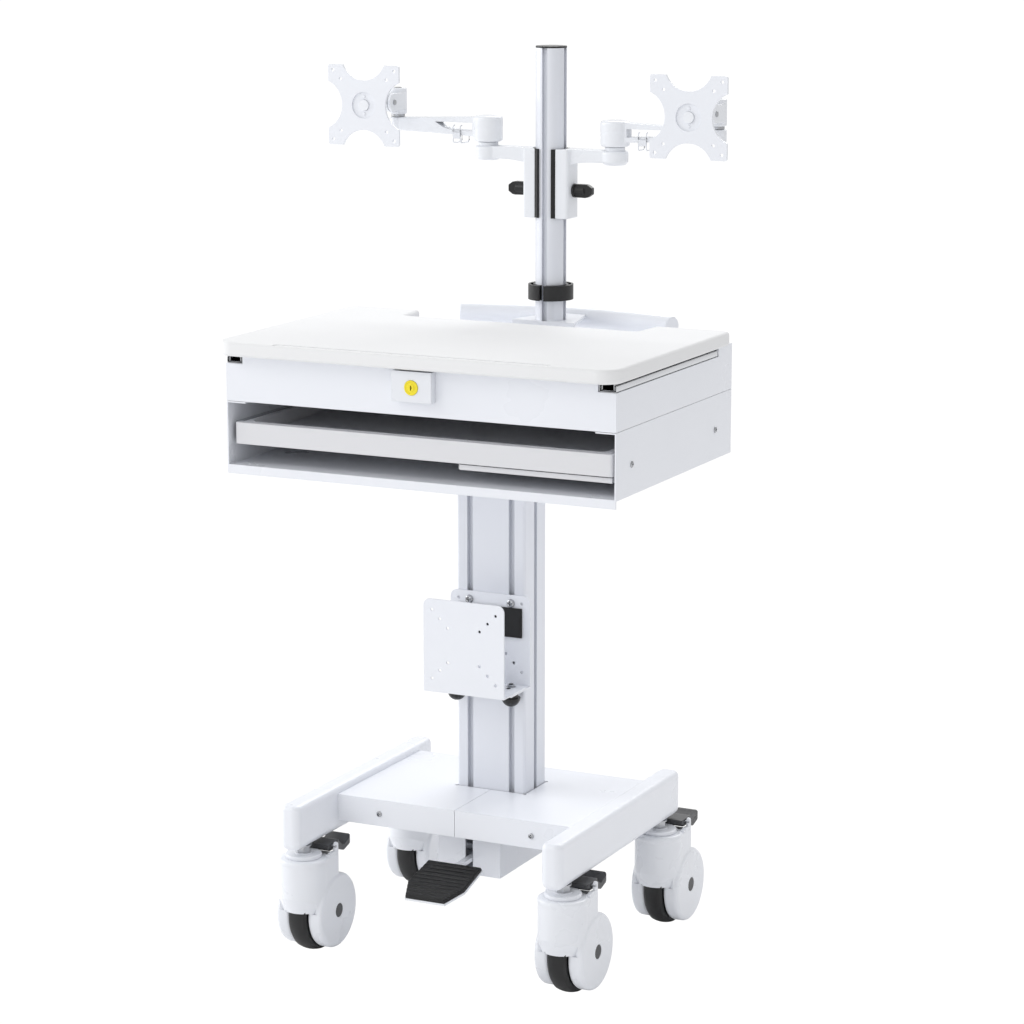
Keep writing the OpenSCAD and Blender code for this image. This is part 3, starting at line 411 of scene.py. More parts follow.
BOX_SIDE_X, BOLT_Y, BOLT_Z = 295.55, (-196, 93), 754
BOLT = {"head_r": 4.5, "head_h": 1.9, "shank_r": 2, "shank_l": 3}
bolts = [cross_screw((s * BOX_SIDE_X, y, BOLT_Z), (s, 0, 0), **BOLT) for _, s in SIDES for y in BOLT_Y]
dress(joined("side_bolts", bolts), "lift", "chrome_screws", ["box_screws"])


def bracket_nuts():
    """Washer and hexagon nut on each thumb knob's stud."""
    nut_x, nut_y, washer_z, nut_z, nut_h = 43, -42.6, 384.65, 385.8, 2.9
    nut_r, nut_turn = 5.2, 0.2
    hexagon = [(nut_r * math.cos(a), nut_r * math.sin(a))
               for a in (math.pi / 3 * k + nut_turn for k in range(6))]
    bm = bmesh.new()
    for _, s in SIDES:
        add_lathe(bm, [(3.1, 0), (7, 0), (7, 1), (6.7, 1.2), (3.1, 1.2), (3.1, 0)],
                  (s * nut_x, nut_y, washer_z), (0, 0, 1), 40)
        add_prism(bm, hexagon, Matrix.Translation((s * nut_x, nut_y, nut_z)), nut_h)
    return make("nuts", bm)


def front_screws(x, y, z, **sizes):
    """A screw to the left and one to the right, with their heads to the front."""
    return [cross_screw((s * x, y, z), (0, -1, 0), **sizes) for _, s in SIDES]


screws = (front_screws(120.4, -137.05, 200.5, head_r=4.2, head_h=2.3, shank_r=2, shank_l=8)
          + front_screws(33, -22.1, 501.5, head_r=6, head_h=4.4, shank_r=2.9, shank_l=8))
dress(joined("base_fasteners", screws + [bracket_nuts()]), "base", "chrome_screws", ["base_screws"])


# ---- base ----------------------------------------------------------------------------
RAIL_X, RAIL_HALF, RAIL_FRONT, RAIL_REAR, RAIL_LOW, RAIL_TOP = 204, 16, -253, 163, 165.5, 231.5
CASTER_Y = (("front", -210), ("rear", 120))


def side_rail(s):
    """Cast rail, rounded on every edge, with a bore for each caster stem."""
    bm = bmesh.new()
    x = s * RAIL_X
    add_box(bm, x - RAIL_HALF, x + RAIL_HALF, RAIL_FRONT, RAIL_REAR, RAIL_LOW, RAIL_TOP)
    upright = [e for e in bm.edges if abs(e.verts[0].co.z - e.verts[1].co.z) > 1]
    bmesh.ops.bevel(bm, geom=upright, offset=12, segments=10, profile=0.5, affect="EDGES")
    for level, radius in ((RAIL_LOW, 11.6), (RAIL_TOP, 8.0)):
        loop = [e for e in bm.edges if all(abs(v.co.z - level) < 0.01 for v in e.verts)]
        bmesh.ops.bevel(bm, geom=loop, offset=radius, segments=10, profile=0.5, affect="EDGES")
    rail = make("rail", bm, sharp=35)
    bm = bmesh.new()
    for _, y in CASTER_Y:
        add_rod(bm, (x, y, RAIL_LOW - 5.5), (x, y, RAIL_LOW + 30), 6.1, seg=32)
    return cut(rail, bm, sharp=35)


rail_left, rail_right = side_rail(-1), side_rail(1)
rail_left.name, rail_right.name = "side_rail_left", "side_rail_right"
dress(rail_left, "base", "white_paint", ["base_rails"])
dress(rail_right, "base", "white_paint")


def pedal_tread():
    """Rubber tread: rounded ribs across a tapering pad."""
    slope, rib, groove, thick, base, soft = math.radians(13.6), 9.5, 2.2, 6.0, 3.05, 1.6
    length, shoulder, root_half, wide_half, tip_half = 97, 61, 42, 44, 30
    m = Matrix.Translation((0, -134, 135.5)) @ Matrix.Rotation(slope, 4, "X")
    steps = 120
    sections = []
    for i in range(steps + 1):
        d = length * i / steps
        if d < shoulder:
            half = root_half + (wide_half - root_half) * d / shoulder
        else:
            half = wide_half - (wide_half - tip_half) * (d - shoulder) / (length - shoulder)
        wave = abs(math.sin(math.pi * d / rib))
        high = base + thick - groove * (1 - math.sqrt(wave))
        sections.append([m @ Vector((x, -d, z)) for x, z in (
            (-half, base), (half, base), (half, high - soft), (half - soft, high),
            (-half + soft, high), (-half, high - soft))])
    bm = bmesh.new()
    add_skin(bm, sections)
    return make("pedal_tread", bm, sharp=60)


dress(pedal_tread(), "foot_pedal_body", "black_rubber", ["pedal_pad"])


# ---- casters ---------------------------------------------------------------------
TRAIL, AXLE_Z, TYRE_HALF, STEM_R, HOOD_FOOT_Z = 36, 61, 14.5, 35, 70
CASTER_AT = {f"{end}_{side}": (s * RAIL_X, y, 0) for end, y in CASTER_Y for side, s in SIDES}


def on_axle(x):
    """A point on the wheel's axle, in the caster's own frame with its stem on Z."""
    return x, TRAIL, AXLE_Z


def hood_chamfer():
    """What the skewed chamfer takes off the front of the hood's foot."""
    wall, foot, low, steps = STEM_R, 29.5, HOOD_FOOT_Z, 48
    edge_z, skew, inside, outside, clear_r = 76.5, 0.43, 0.6, 1, 50
    sections = []
    for i in range(steps + 1):
        a = math.radians(210 + 120 * i / steps)
        rise = (edge_z - skew * wall * math.sin(a) - low) / (wall - foot)
        z0, z1 = low - inside * rise, low + (wall + outside - foot) * rise
        corners = (foot - inside, z0), (clear_r, z0), (clear_r, z1), (wall + outside, z1)
        sections.append([(r * math.cos(a), r * math.sin(a), z) for r, z in corners])
    bm = bmesh.new()
    add_skin(bm, sections)
    return bm


def caster_fork():
    """Hood round the stem with a skewed chamfer at its foot, and the two wheel covers."""
    cover_r, cover_t, cover_edge, cover_x = 54.3, 23, 6.5, 14
    slot_r, slot_half, cap_bore_r, cap_bore_x = 62.8, 16, 10.4, 35
    bm = bmesh.new()
    add_lathe(bm, [(0, HOOD_FOOT_Z), (STEM_R, HOOD_FOOT_Z), (STEM_R, 139), (35.8, 140.5),
                   (35.8, 143.2), (34.8, 145.6), (32, 147), (0, 147)], seg=96)
    add_box(bm, -34.5, 34.5, 2, 41, 84, 145)
    for s in (-1, 1):
        cover = soft_profile(cover_r, cover_t, cover_edge, 6)
        add_lathe(bm, cover, on_axle(s * cover_x), (s, 0, 0), 128)
    body = make("fork", bm, voxel=1.0, smooth=5)
    cut(body, hood_chamfer(), sharp=50)
    bm = bmesh.new()
    add_rod(bm, on_axle(-slot_half), on_axle(slot_half), slot_r, seg=128)
    for s in (-1, 1):
        add_rod(bm, on_axle(s * cap_bore_x), on_axle(s * (cap_bore_x + 5)), cap_bore_r)
    return cut(body, bm, sharp=14)


def fork_trim():
    """Swivel collar, the two lugs with their ledges, axle with its caps, and the lever's pin."""
    cap_r, cap_t, cap_x, axle_half, axle_r = 10, 2, 35.05, 34.9, 4
    pin_half, pin_y, pin_z, pin_r = 33.6, 35, 156, 2
    lug_x, lug_t, ledge_x = 31, 4, 30.5
    bm = bmesh.new()
    add_lathe(bm, soft_profile(26, 6.4, 1.8), (0, 0, 146.4))
    add_lathe(bm, soft_profile(13, 1.6, 0.6), (0, 0, 152.4))
    for s in (-1, 1):
        ear = ([(31, 118), (41.6, 118), (43.2, 152)] + arc(38.2, 156.6, 4.8, -10, 190, 12)
               + [(32.5, 146)])
        m = Matrix(((0, 0, 1, s * lug_x - lug_t / 2), (1, 0, 0, 0), (0, 1, 0, 0), (0, 0, 0, 1)))
        add_prism(bm, ear, m, lug_t)
        x = s * ledge_x
        add_box(bm, x - 3.2, x + 3.2, 14, 40, 140, 148.6)
        add_box(bm, x - 2.2, x + 3.6, 20, 32, 140, 150.2)
    trim = make("trim", bm, bevel=0.7, seg=2)
    bm = bmesh.new()
    for s in (-1, 1):
        add_lathe(bm, soft_profile(cap_r, cap_t, 0.6), on_axle(s * cap_x), (s, 0, 0))
    add_rod(bm, on_axle(-axle_half), on_axle(axle_half), axle_r)
    caps = make("caps", bm)
    bm = bmesh.new()
    add_rod(bm, (-pin_half, pin_y, pin_z), (pin_half, pin_y, pin_z), pin_r, seg=24)
    pin = make("pin", bm)
    return trim, caps, pin


def caster_tyre():
    """Tyre with a slightly crowned tread and rounded shoulders."""
    half, inner_r, crown_drop, shoulder_at, shoulder_drop = TYRE_HALF, 46.1, 3.2, 13, 1.8
    crown = [(AXLE_Z - crown_drop * (t / half) ** 2 - (shoulder_drop if abs(t) > shoulder_at else 0), t)
             for t in (half * k / 10 for k in range(-10, 11))]
    bm = bmesh.new()
    add_ring(bm, [(inner_r, -half)] + crown + [(inner_r, half)], on_axle(0), (1, 0, 0), 128)
    return make("tyre", bm, sharp=50)


def caster_hub():
    """Wheel disc with a rim and a bored boss."""
    low = [(4.1, -TYRE_HALF), (13, -TYRE_HALF), (14, -5), (38, -5), (40, -13.5), (46, -13.5)]
    bm = bmesh.new()
    add_ring(bm, low + [(r, -h) for r, h in reversed(low)], on_axle(0), (1, 0, 0), 64)
    return make("hub", bm)


def brake_lever():
    """Flat arm over the hood that drops to a raised, round-cornered paddle.
    Stations are (y, half width, low z, high z)."""
    stations = [(21.5, 24, 154, 158.4), (23, 27, 153.4, 160), (27.4, 27, 153.4, 160),
                (27.6, 27, 150, 160), (53, 27, 150, 160), (57, 25.5, 149.2, 159.4),
                (61, 21, 147.5, 157.6), (70, 19.3, 142, 152), (79, 19, 136.4, 145.6),
                (84, 19, 135, 143.6), (100, 19, 139.6, 149.4), (103.5, 18.2, 140.8, 151),
                (106.2, 16.4, 141.8, 152), (108, 13.4, 142.6, 152.4)]
    bm = bmesh.new()
    add_skin(bm, [((-w, y, z0), (w, y, z0), (w, y, z1), (-w, y, z1)) for y, w, z0, z1 in stations])
    return make("lever", bm, bevel=1.6, seg=3, angle=28, sharp=45)


fork, (trim, caps, pin) = caster_fork(), fork_trim()
tyre, hub, lever = caster_tyre(), caster_hub(), brake_lever()
for c, at in CASTER_AT.items():
    dress(copy_at(fork, f"fork_shell_{c}", at), f"caster_{c}", "white_plastic", [f"caster_fork_{c}"])
    dress(copy_at(trim, f"fork_lugs_{c}", at), f"caster_{c}", "white_plastic")
    dress(copy_at(caps, f"axle_caps_{c}", at), f"caster_{c}", "grey_plastic")
    dress(copy_at(pin, f"lever_pin_{c}", at), f"caster_{c}", "zinc_steel")
    dress(copy_at(tyre, f"tyre_{c}", at), f"wheel_{c}", "wheel_rubber", [f"caster_wheel_{c}"])
    dress(copy_at(hub, f"wheel_hub_{c}", at), f"wheel_{c}", "white_plastic")
    dress(copy_at(lever, f"brake_pedal_{c}", at), f"brake_{c}", "grey_plastic", [f"brake_lever_{c}"])
for spare in (fork, trim, caps, pin, tyre, hub, lever):
    bpy.data.objects.remove(spare)


# ---- worktop and handle ------------------------------------------------------------
def worktop():
    """Board with round front corners, a notch for the mast, a slot for the lock's cam and a wrist
    groove.
    """
    x1, y0, y1, r, rear_r = 304, -270, 130, 30, 12
    low_z, thick, groove_x, groove_y, groove_z, groove_r = 869.5, 20, 209, -265, 888.6, 6
    right = arc(x1 - r, y0 + r, r, 270, 360, 10) + arc(x1 - rear_r, y1 - rear_r, rear_r, 0, 90, 8)
    notch = arc(196, y1 - 8, 8, 90, 160, 5) + arc(178, 76, 6, -20, -90, 5)
    right += notch
    outline = right + [(-x, y) for x, y in reversed(right)]
    bm = bmesh.new()
    add_prism(bm, outline, Matrix.Translation((0, 0, low_z)), thick)
    top = make("worktop_board", bm, bevel=6.5, seg=6, angle=50, sharp=60)
    bm = bmesh.new()
    add_box(bm, -22, 22, -241, -231, 860, 877.5)        # the slot for the lock's cam
    wrist = ([(-groove_x, -276), (groove_x, -276)]
             + arc(groove_x - groove_r, groove_y, groove_r, 0, 90, 5)
             + arc(groove_r - groove_x, groove_y, groove_r, 90, 180, 5))
    add_prism(bm, wrist, Matrix.Translation((0, 0, groove_z)), 4)
    return cut(top, bm)


dress(worktop(), "worktop_body", "worktop_plastic", ["worktop"])


def handle():
    """Round bar bent to an arc, furthest to the rear at its middle."""
    half, bend_r, bar_r, rear_y, bar_z, steps = math.radians(18.5), 542, 15, 255, 874.5, 72
    path = []
    for i in range(steps + 1):
        a = -half + 2 * half * i / steps
        path.append((bend_r * math.sin(a), rear_y - bend_r + bend_r * math.cos(a), bar_z))
    bm = bmesh.new()
    add_sweep(bm, path, bar_r, 48)
    return make("push_handle", bm, bevel=2.5, seg=4, angle=50)


dress(handle(), "lift", "white_paint", ["handle_bar"])


# ---- worktop slides and lock ----------------------------------------------------------
SLIDE_X, LEDGE_Z, SLIDE_FRONT, SLIDE_REAR, CHANNEL_T = 282.2, 856.5, -244, 94, 1.1


def add_channels(bm, right_half, t, y0, y1):
    """A channel of sheet t on each side of the cart, from the right half of its path."""
    path = right_half + [(-x, z) for x, z in reversed(right_half)]
    for _, s in SIDES:
        m = Matrix.Translation((s * SLIDE_X, y1, LEDGE_Z)) @ FRONT
        add_prism(bm, ribbon(path, t), m, y1 - y0)


def slide_member(name, right_half, y0, y1):
    bm = bmesh.new()
    add_channels(bm, right_half, CHANNEL_T, y0, y1)
    return make(name, bm, sharp=50)


def ball_cage():
    """Thin cage with a row of balls on each side, between the two channels."""
    cage_x, cage_t, ball_z, ball_r, pitch, count = 10.2, 0.5, 5.6, 1.5, 9, 38
    bm = bmesh.new()
    add_channels(bm, [(cage_x, 7.6), (cage_x, 3.6), (8.6, 2.3)], cage_t, SLIDE_FRONT, SLIDE_REAR)
    for x in (s * SLIDE_X + lip * cage_x for _, s in SIDES for lip in (-1, 1)):
        for k in range(count):
            at = Matrix.Translation((x, SLIDE_FRONT + 3 + pitch * k, LEDGE_Z + ball_z))
            bmesh.ops.create_uvsphere(bm, u_segments=10, v_segments=6, radius=ball_r, matrix=at)
    return make("ball_cage", bm, sharp=50)


outer = slide_member("slide_outer", [(11.2, 8.8), (12.1, 8.2), (12.1, 1.6), (11.0, 0.62)], -245, 100)
dress(outer, "lift", "slide_steel", ["worktop_slide_fixed"])
dress(ball_cage(), "slide_middle", "slide_steel", ["worktop_slide_middle"])
inner = slide_member("slide_inner", [(8.5, 3.6), (8.5, 11.0), (7.0, 12.3)], SLIDE_FRONT, SLIDE_REAR)
dress(inner, "worktop_body", "slide_steel", ["worktop_slide_inner"])


def lock_barrel():
    """Key barrel: a rimmed face round a plug with its keyway, and the cam behind the wall."""
    front, wall, lock_z = -261.5, -235, 844.5
    bm = bmesh.new()
    add_lathe(bm, [(0, 0), (10.4, 0), (10.4, 25.4), (9.9, 26.2), (9, 26.4), (8.3, 26.2), (8, 25.6),
                   (5.2, 25.6), (5.0, 26.3), (4.6, 26.6), (0, 26.6)],
              (0, wall, lock_z), (0, -1, 0), 64)
    barrel = make("barrel", bm, sharp=35)
    bm = bmesh.new()
    add_box(bm, -0.8, 0.8, front - 1, front + 4, lock_z - 3.4, lock_z + 3.2)
    add_box(bm, -0.3, 1.9, front - 1, front + 3, lock_z - 0.6, lock_z + 0.8)
    cut(barrel, bm, sharp=35)
    bm = bmesh.new()
    add_box(bm, 0, 29, wall - 3, wall, lock_z - 6, lock_z + 6)
    cam = make("cam", bm, bevel=0.6)
    return joined("lock_barrel", [barrel, cam])


dress(lock_barrel(), "lock", "lock_brass", ["lock_cylinder"])


# ---- monitor arms --------------------------------------------------------------------
MAST_Y, CLAMP_Z0, CLAMP_Z1, KNUCKLE, KNOB_Z = 178, 1030.5, 1130.5, 101, 1070.5
HUB_Z, HEAD_X, HEAD_Y, TILT_Y, PLATE_Y, PLATE_Z = 1136, 254.5, 188, 152, 81, 1189.5
KNUCKLE_R, HEAD_PIVOT_R, TILT_PIN_R, PLAY = 8, 5, 4, 0.2
ARM_DX, ARM_DY = HEAD_X - KNUCKLE, HEAD_Y - MAST_Y
ARM_L, ARM_A = math.hypot(ARM_DX, ARM_DY), math.atan2(ARM_DY, ARM_DX)
ARM = Matrix.Translation((KNUCKLE, MAST_Y, HUB_Z)) @ Matrix.Rotation(ARM_A, 4, "Z")


def at_knuckle(z):
    return KNUCKLE, MAST_Y, z


def at_head(z):
    return HEAD_X, HEAD_Y, z


def at_tilt(dx):
    """A point on the tilt axis, dx from the head's middle."""
    return HEAD_X + dx, TILT_Y, PLATE_Z


def at_plate(y, dz=0):
    """A point on the plate's turning axis, or dz above it."""
    return HEAD_X, y, PLATE_Z + dz


def clamp(mirror):
    """Clamp block beside the mast with its arm to the knuckle, and the knuckle's pivot."""
    x0, x1, y0, y1, r, mast_r = 14, 36, 157.2, 195, 4.5, 26.5
    below, above, screw_bore_r, washer_r = CLAMP_Z0 - 10.5, CLAMP_Z1 + 9.5, 3.3, 14.5
    bm = bmesh.new()
    block = (arc(x1 - r, y1 - r, r, 0, 90, 6) + [(x0, y1), (x0, y0)]
             + arc(x1 - r, y0 + r, r, 270, 360, 6))
    add_prism(bm, block, Matrix.Translation((0, 0, CLAMP_Z0)), CLAMP_Z1 - CLAMP_Z0)
    side = [(30, CLAMP_Z1), (30, 1108), (40, 1110), (60, 1112.5), (KNUCKLE, 1113.5), (KNUCKLE, CLAMP_Z1)]
    add_prism(bm, side, Matrix.Translation((0, 192, 0)) @ FRONT, 28)
    add_lathe(bm, [(0, 1109.5), (13, 1109.5), (16, 1110.5), (19, 1114), (19.3, 1116), (19.3, 1127),
                   (18, 1129.5), (15, CLAMP_Z1), (0, CLAMP_Z1)], at_knuckle(0))
    body = make("clamp", bm, voxel=0.8, smooth=5, mirror=mirror)
    bm = bmesh.new()
    add_rod(bm, (0, MAST_Y, below), (0, MAST_Y, above), mast_r, seg=96)
    add_rod(bm, (10, MAST_Y, KNOB_Z), (40, MAST_Y, KNOB_Z), screw_bore_r, seg=24)
    add_box(bm, -10, x0 + 0.6, 150, 210, below, above)
    cut(body, bm, mirror, sharp=45)
    bm = bmesh.new()
    add_rod(bm, at_knuckle(CLAMP_Z1 - 1.5), at_knuckle(HUB_Z - 0.4), washer_r)
    add_rod(bm, at_knuckle(CLAMP_Z1 - 1.5), at_knuckle(HUB_Z + 29), KNUCKLE_R, seg=32)
    neck = make("neck", bm, bevel=0.6, mirror=mirror)
    return body, neck


def liner(mirror):
    """Rubber shell between the clamp and the mast, short of the mast's front and rear."""
    outer_r, inner_r, edge_x, inset, steps = 26.2, 22.75, 10.8, 0.5, 24
    a1 = math.degrees(math.acos(edge_x / outer_r))
    outline = arc(0, 0, outer_r, -a1, a1, steps) + arc(0, 0, inner_r, a1, -a1, steps)
    bm = bmesh.new()
    low = Matrix.Translation((0, MAST_Y, CLAMP_Z0 + inset))
    add_prism(bm, outline, low, CLAMP_Z1 - CLAMP_Z0 - 2 * inset)
    return make("liner", bm, mirror=mirror)


def clamp_knob(mirror):
    """Wing knob with its collar and its screw."""
    wing = [(40, 9.5), (56, 9.8), (60, 9), (66.5, 4.5)]
    bm = bmesh.new()
    y, z = MAST_Y, KNOB_Z
    add_rod(bm, (18.5, y, z), (40, y, z), 3, seg=24)
    add_lathe(bm, soft_profile(10, 3.4, 1), (36.3, y, z), (1, 0, 0), 48)
    add_rod(bm, (39, y, z), (55, y, z), 8.2, 7.6, seg=48)
    m = Matrix.Translation((0, y + 5, z)) @ FRONT
    add_prism(bm, [(x, -h) for x, h in wing] + wing[::-1], m, 10)
    return make("knob", bm, bevel=1.1, seg=3, angle=30, mirror=mirror)


def monitor_arm(mirror):
    """Cast arm from the knuckle's hub to the head's pivot, with a window through its inner half."""
    bar_width, cap_seat = 22, [(0, 36.2), (10.5, 36.2), (10.5, 40), (0, 40)]
    bm = bmesh.new()
    add_lathe(bm, [(0, 0.3), (18.5, 0.3), (20.5, 1.2), (21, 3), (21, 21), (21.4, 22.5), (21.4, 33),
                   (20.4, 36), (17.5, 37.3), (0, 37.5)], at_knuckle(HUB_Z), seg=96)
    bar = [(4, 5.5), (22, 7), (90, 9.5), (ARM_L, 11), (ARM_L, 29.3), (90, 32), (22, 35.2), (4, 35.5)]
    add_prism(bm, bar, ARM @ Matrix.Translation((0, bar_width / 2, 0)) @ FRONT, bar_width)
    add_lathe(bm, soft_profile(13, 19, 2), ARM @ Vector((ARM_L, 0, 10.5)), (0, 0, 1))
    arm = make("arm", bm, voxel=1.0, smooth=5, mirror=mirror)
    bm = bmesh.new()
    window = [(21, 14.3), (58, 15.4), (70, 18.5), (80, 23.5), (84, 26), (70, 26.3), (21, 26.5)]
    add_prism(bm, window, ARM @ Matrix.Translation((0, 20, 0)) @ FRONT, 40)
    add_rod(bm, at_knuckle(HUB_Z - 1), at_knuckle(HUB_Z + 30), KNUCKLE_R + PLAY)
    add_rod(bm, ARM @ Vector((ARM_L, 0, 5)), ARM @ Vector((ARM_L, 0, 40)), HEAD_PIVOT_R + PLAY)
    add_lathe(bm, cap_seat, at_knuckle(HUB_Z))
    return cut(arm, bm, mirror, sharp=45)


def arm_trim(mirror):
    """Hub cap, and the wire clip hooked round the arm below its window."""
    bm = bmesh.new()
    add_lathe(bm, soft_profile(10.2, 1.6, 0.5), at_knuckle(HUB_Z + 35.6))
    cap = make("hub_cap", bm, mirror=mirror)
    bm = bmesh.new()
    x0, x1, wire_r = 40, 52, 0.9
    for x in (x0, x1):
        path = [(x, -8, 22), (x, -12.3, 21), (x, -13.3, 16), (x, -12.5, 6), (x, -12.8, -1),
                (x, -10, -3.2), (x, 0, -3.6), (x, 10, -3.2), (x, 12.8, -1), (x, 12.5, 6), (x, 12.6, 14)]
        add_sweep(bm, [ARM @ Vector(p) for p in path], wire_r, 10)
    add_prism(bm, [(x0, -13.6), (x1, -13.6), (x1, -11.9), (x0, -11.9)],
              ARM @ Matrix.Translation((0, 0, 3)), 9)
    clip = make("clip", bm, mirror=mirror, sharp=60)
    return cap, clip


def monitor_head(mirror):
    """Upright head with two cheeks for the tilt hub, its stem in the arm, and its cap."""
    z0, z1, body_r, cheek_x, cheek_t, cheek_r = HUB_Z + 34, HUB_Z + 72.5, 13, 8, 5, 13.5
    slot, slot_r, collar_r = 7.9, 15.5, 10
    bm = bmesh.new()
    add_lathe(bm, soft_profile(body_r, z1 - z0, 2), at_head(z0))
    for dx in (-cheek_x - cheek_t, cheek_x):
        add_box(bm, HEAD_X + dx, HEAD_X + dx + cheek_t, TILT_Y, HEAD_Y, z0 + 6.5, z1 - 6.5)
        add_rod(bm, at_tilt(dx), at_tilt(dx + cheek_t), cheek_r, seg=64)
    head = make("head", bm, voxel=0.8, smooth=4, mirror=mirror)
    bm = bmesh.new()
    add_rod(bm, at_tilt(-slot), at_tilt(slot), slot_r, seg=64)
    add_box(bm, HEAD_X - slot, HEAD_X + slot, TILT_Y - 20, TILT_Y, PLATE_Z - 15.4, PLATE_Z + 15.4)
    add_rod(bm, at_tilt(-30), at_tilt(30), TILT_PIN_R + PLAY / 2, seg=32)
    cut(head, bm, mirror, sharp=45)
    bm = bmesh.new()
    add_rod(bm, at_head(HUB_Z + 13), at_head(z0 + 1), HEAD_PIVOT_R, seg=32)
    add_rod(bm, at_head(HUB_Z + 30), at_head(z0 + 1), collar_r)
    stem = make("stem", bm, bevel=0.4, mirror=mirror)
    bm = bmesh.new()
    add_lathe(bm, soft_profile(5.5, 1.2, 0.4), at_head(z1 - 0.6))
    cap = make("cap", bm, mirror=mirror)
    return head, stem, cap


def tilt_hub(mirror):
    """Hub between the head's cheeks, with the flange that carries the plate, and the tilt pin."""
    back, barrel_half, barrel_r, neck_r, pin_half = PLATE_Y + 4, 7.5, 13.8, 7.2, 14.5
    flange_r, flange_t, boss_r, boss_tip_r = 19, 8, 7.9, 8
    bm = bmesh.new()
    add_rod(bm, at_tilt(-barrel_half), at_tilt(barrel_half), barrel_r, seg=64)
    add_rod(bm, at_plate(back + 8), at_plate(TILT_Y), neck_r)
    add_lathe(bm, soft_profile(flange_r, flange_t, 1.5), at_plate(back + 2), (0, 1, 0))
    add_rod(bm, at_plate(PLATE_Y), at_plate(back + 4), boss_tip_r, boss_r)
    hub = make("tilt", bm, bevel=0.5, mirror=mirror)
    bm = bmesh.new()
    add_rod(bm, at_tilt(-pin_half), at_tilt(pin_half), TILT_PIN_R, seg=32)
    pin = make("pin", bm, bevel=0.5, mirror=mirror)
    return hub, pin


def monitor_plate(mirror):
    """Square plate with a round dent in each side, a sunk centre and two squares of holes."""
    half, thick, corner_r, dent_r, dent_at = 58, 3.5, 3, 36.5, 72
    hole_r, hole_squares, sunk_r, sunk, boss_bore_r, screw_z = 2.4, (37.5, 50), 19, 2.4, 8.1, 12.5
    a = math.degrees(math.acos((dent_at - half) / dent_r))
    dent = arc(0, dent_at, dent_r, -90 - a, -90 + a, 28)
    corner = arc(half - corner_r, half - corner_r, corner_r, 90, 0, 5)
    quarter = sorted((-x, y) for x, y in dent if y <= half) + corner
    outline = []
    for k in range(4):
        c, s = math.cos(math.pi / 2 * k), math.sin(math.pi / 2 * k)
        outline += [(x * c + y * s, y * c - x * s) for x, y in quarter]
    m = Matrix.Translation((HEAD_X, PLATE_Y + thick, PLATE_Z)) @ FRONT
    bm = bmesh.new()
    add_prism(bm, outline, m, thick)
    add_lathe(bm, soft_profile(20, 4.3, 0.8), at_plate(PLATE_Y + 1.5), (0, 1, 0))
    plate = make("plate", bm, mirror=mirror)
    bm = bmesh.new()
    add_rod(bm, at_plate(PLATE_Y - 1), at_plate(PLATE_Y + sunk), sunk_r, seg=64)
    add_rod(bm, at_plate(PLATE_Y - 1), at_plate(PLATE_Y + 9), boss_bore_r)
    for d in hole_squares:
        for x in (HEAD_X - d, HEAD_X + d):
            for z in (PLATE_Z - d, PLATE_Z + d):
                add_rod(bm, (x, PLATE_Y - 1, z), (x, PLATE_Y + 5, z), hole_r, seg=24)
    cut(plate, bm, mirror)
    add_bevel(plate, 0.7, 2, 50)
    baked(plate)
    shade(plate, 50)
    bm = bmesh.new()
    for dz in (-screw_z, screw_z):
        add_lathe(bm, soft_profile(2.2, 1.2, 0.4, 3), at_plate(PLATE_Y + 2.5, dz), (0, -1, 0), 24)
    return plate, make("screws", bm, mirror=mirror)


def put(obj, side, name, body, slot, nodes=()):
    """Dresses a piece of one side's arm; name, body and nodes get the side's name."""
    obj.name = f"{name}_{side}"
    dress(obj, f"{body}_{side}", slot, [f"{n}_{side}" for n in nodes])


for side, s in SIDES:
    left = s < 0
    body, neck = clamp(left)
    put(body, side, "clamp_block", "clamp_body", "white_cast", ["clamp"])
    put(neck, side, "knuckle_neck", "clamp_body", "white_cast")
    put(liner(left), side, "clamp_liner", "clamp_body", "black_rubber")
    put(clamp_knob(left), side, "clamp_wing_knob", "clamp_screw", "black_plastic", ["clamp_knob"])
    put(monitor_arm(left), side, "arm_casting", "arm", "white_cast", ["monitor_arm"])
    cap, clip = arm_trim(left)
    put(cap, side, "arm_hub_cap", "arm", "white_plastic")
    put(clip, side, "cable_clip", "arm", "white_plastic")
    head, stem, cap = monitor_head(left)
    put(head, side, "head_block", "head", "white_cast", ["monitor_head"])
    put(stem, side, "head_stem", "head", "zinc_steel")
    put(cap, side, "head_cap", "head", "grey_plastic")
    hub, pin = tilt_hub(left)
    put(hub, side, "tilt_block", "tilt", "white_cast", ["tilt_hub"])
    put(pin, side, "tilt_pin", "tilt", "zinc_steel")
    plate, screws = monitor_plate(left)
    put(plate, side, "vesa_plate", "plate", "white_paint", ["monitor_plate"])
    put(screws, side, "plate_screws", "plate", "white_paint")


# ---- stage, light, camera ---------------------------------------------------------
AMBIENT, BACKDROP = 0.69, 1.05
STAGE_AIM = (0, 0, 0.7)


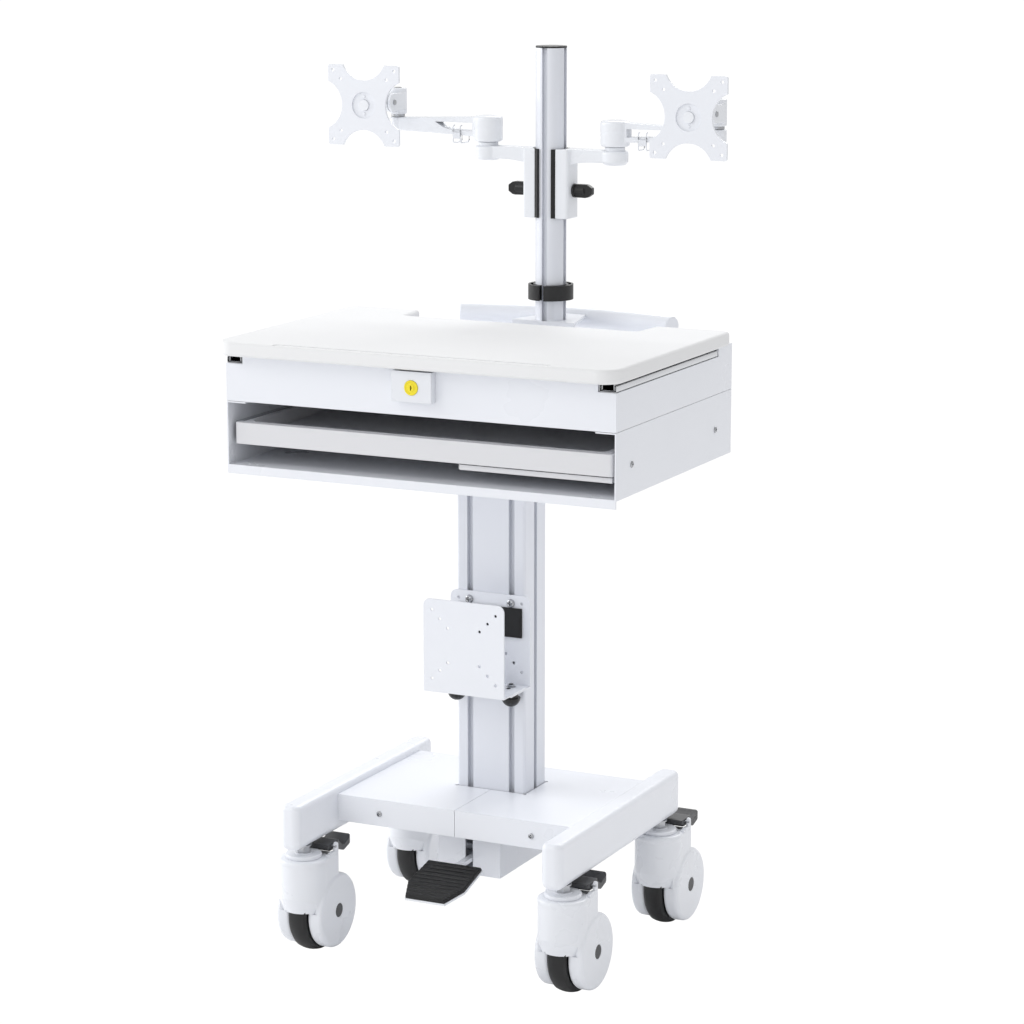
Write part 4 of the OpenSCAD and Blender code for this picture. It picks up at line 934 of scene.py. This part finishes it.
def floor_material():
    """Matt floor that shows white to the camera, as the backdrop does."""
    mat = bpy.data.materials.new("floor_white")
    mat.use_nodes = True
    tree = mat.node_tree
    shader = tree.nodes["Principled BSDF"]
    shader.inputs["Base Color"].default_value = (0.93, 0.93, 0.935, 1)
    shader.inputs["Roughness"].default_value = 0.9
    shader.inputs["Specular IOR Level"].default_value = 0.1
    glow = tree.nodes.new("ShaderNodeEmission")
    glow.inputs["Color"].default_value = (1, 1, 1, 1)
    glow.inputs["Strength"].default_value = BACKDROP
    path = tree.nodes.new("ShaderNodeLightPath")
    mix = tree.nodes.new("ShaderNodeMixShader")
    tree.links.new(path.outputs["Is Camera Ray"], mix.inputs["Fac"])
    tree.links.new(shader.outputs["BSDF"], mix.inputs[1])
    tree.links.new(glow.outputs["Emission"], mix.inputs[2])
    tree.links.new(mix.outputs["Shader"], tree.nodes["Material Output"].inputs["Surface"])
    return mat


bm = bmesh.new()
bmesh.ops.create_grid(bm, x_segments=1, y_segments=1, size=30)
mesh = bpy.data.meshes.new("studio_floor")
bm.to_mesh(mesh)
bm.free()
floor = bpy.data.objects.new("studio_floor", mesh)
floor.location.z = -0.0002
bpy.context.scene.collection.objects.link(floor)
floor.data.materials.append(floor_material())


def area_light(name, at, aim, size, watts):
    data = bpy.data.lights.new(name, "AREA")
    data.shape = "RECTANGLE"
    data.size, data.size_y = size
    data.energy = watts
    lamp = bpy.data.objects.new(name, data)
    lamp.location = at
    lamp.rotation_euler = (Vector(aim) - Vector(at)).to_track_quat("-Z", "Y").to_euler()
    bpy.context.scene.collection.objects.link(lamp)


for lamp_name, lamp_at, lamp_size, watts in (
        ("left", (-5, -0.5, 2.2), (3, 2.5), 100),
        ("rear_top", (-0.5, 4, 4.2), (3.5, 2.5), 125),
        ("front_left_high", (-3, -3.5, 4.2), (2.5, 2.5), 52),
        ("front", (0.3, -5.5, 2.2), (3, 2.5), 25)):
    area_light(lamp_name, lamp_at, STAGE_AIM, lamp_size, watts)


def studio_world(ambient, backdrop):
    """Even light of strength ambient; the backdrop itself shows white."""
    world = bpy.data.worlds.new("studio")
    bpy.context.scene.world = world
    world.use_nodes = True
    tree = world.node_tree
    node, link = tree.nodes, tree.links
    soft = node["Background"]
    soft.inputs["Strength"].default_value = ambient
    soft.inputs["Color"].default_value = (1, 1, 1, 1)
    plain = node.new("ShaderNodeBackground")
    plain.inputs["Strength"].default_value = backdrop
    plain.inputs["Color"].default_value = (1, 1, 1, 1)
    path = node.new("ShaderNodeLightPath")
    mix = node.new("ShaderNodeMixShader")
    link.new(path.outputs["Is Camera Ray"], mix.inputs["Fac"])
    link.new(soft.outputs["Background"], mix.inputs[1])
    link.new(plain.outputs["Background"], mix.inputs[2])
    link.new(mix.outputs["Shader"], node["World Output"].inputs["Surface"])


studio_world(AMBIENT, BACKDROP)
bpy.context.scene.view_settings.view_transform = "Standard"

# where the photograph was taken from (metres), and its lens on a 36 mm film
CAMERA_AT, CAMERA_AIM, LENS = (1.96884, -3.99533, 1.53970), (0.0335, -0.0198, 0.6336), 112.17
cam = bpy.data.cameras.new("photo_camera")
cam.lens = LENS
cam.sensor_width = 36
cam.clip_end = 100
camera = bpy.data.objects.new("photo_camera", cam)
camera.location = CAMERA_AT
aim = Vector(CAMERA_AIM) - camera.location
camera.rotation_euler = aim.to_track_quat("-Z", "Y").to_euler()
bpy.context.scene.collection.objects.link(camera)
bpy.context.scene.camera = camera
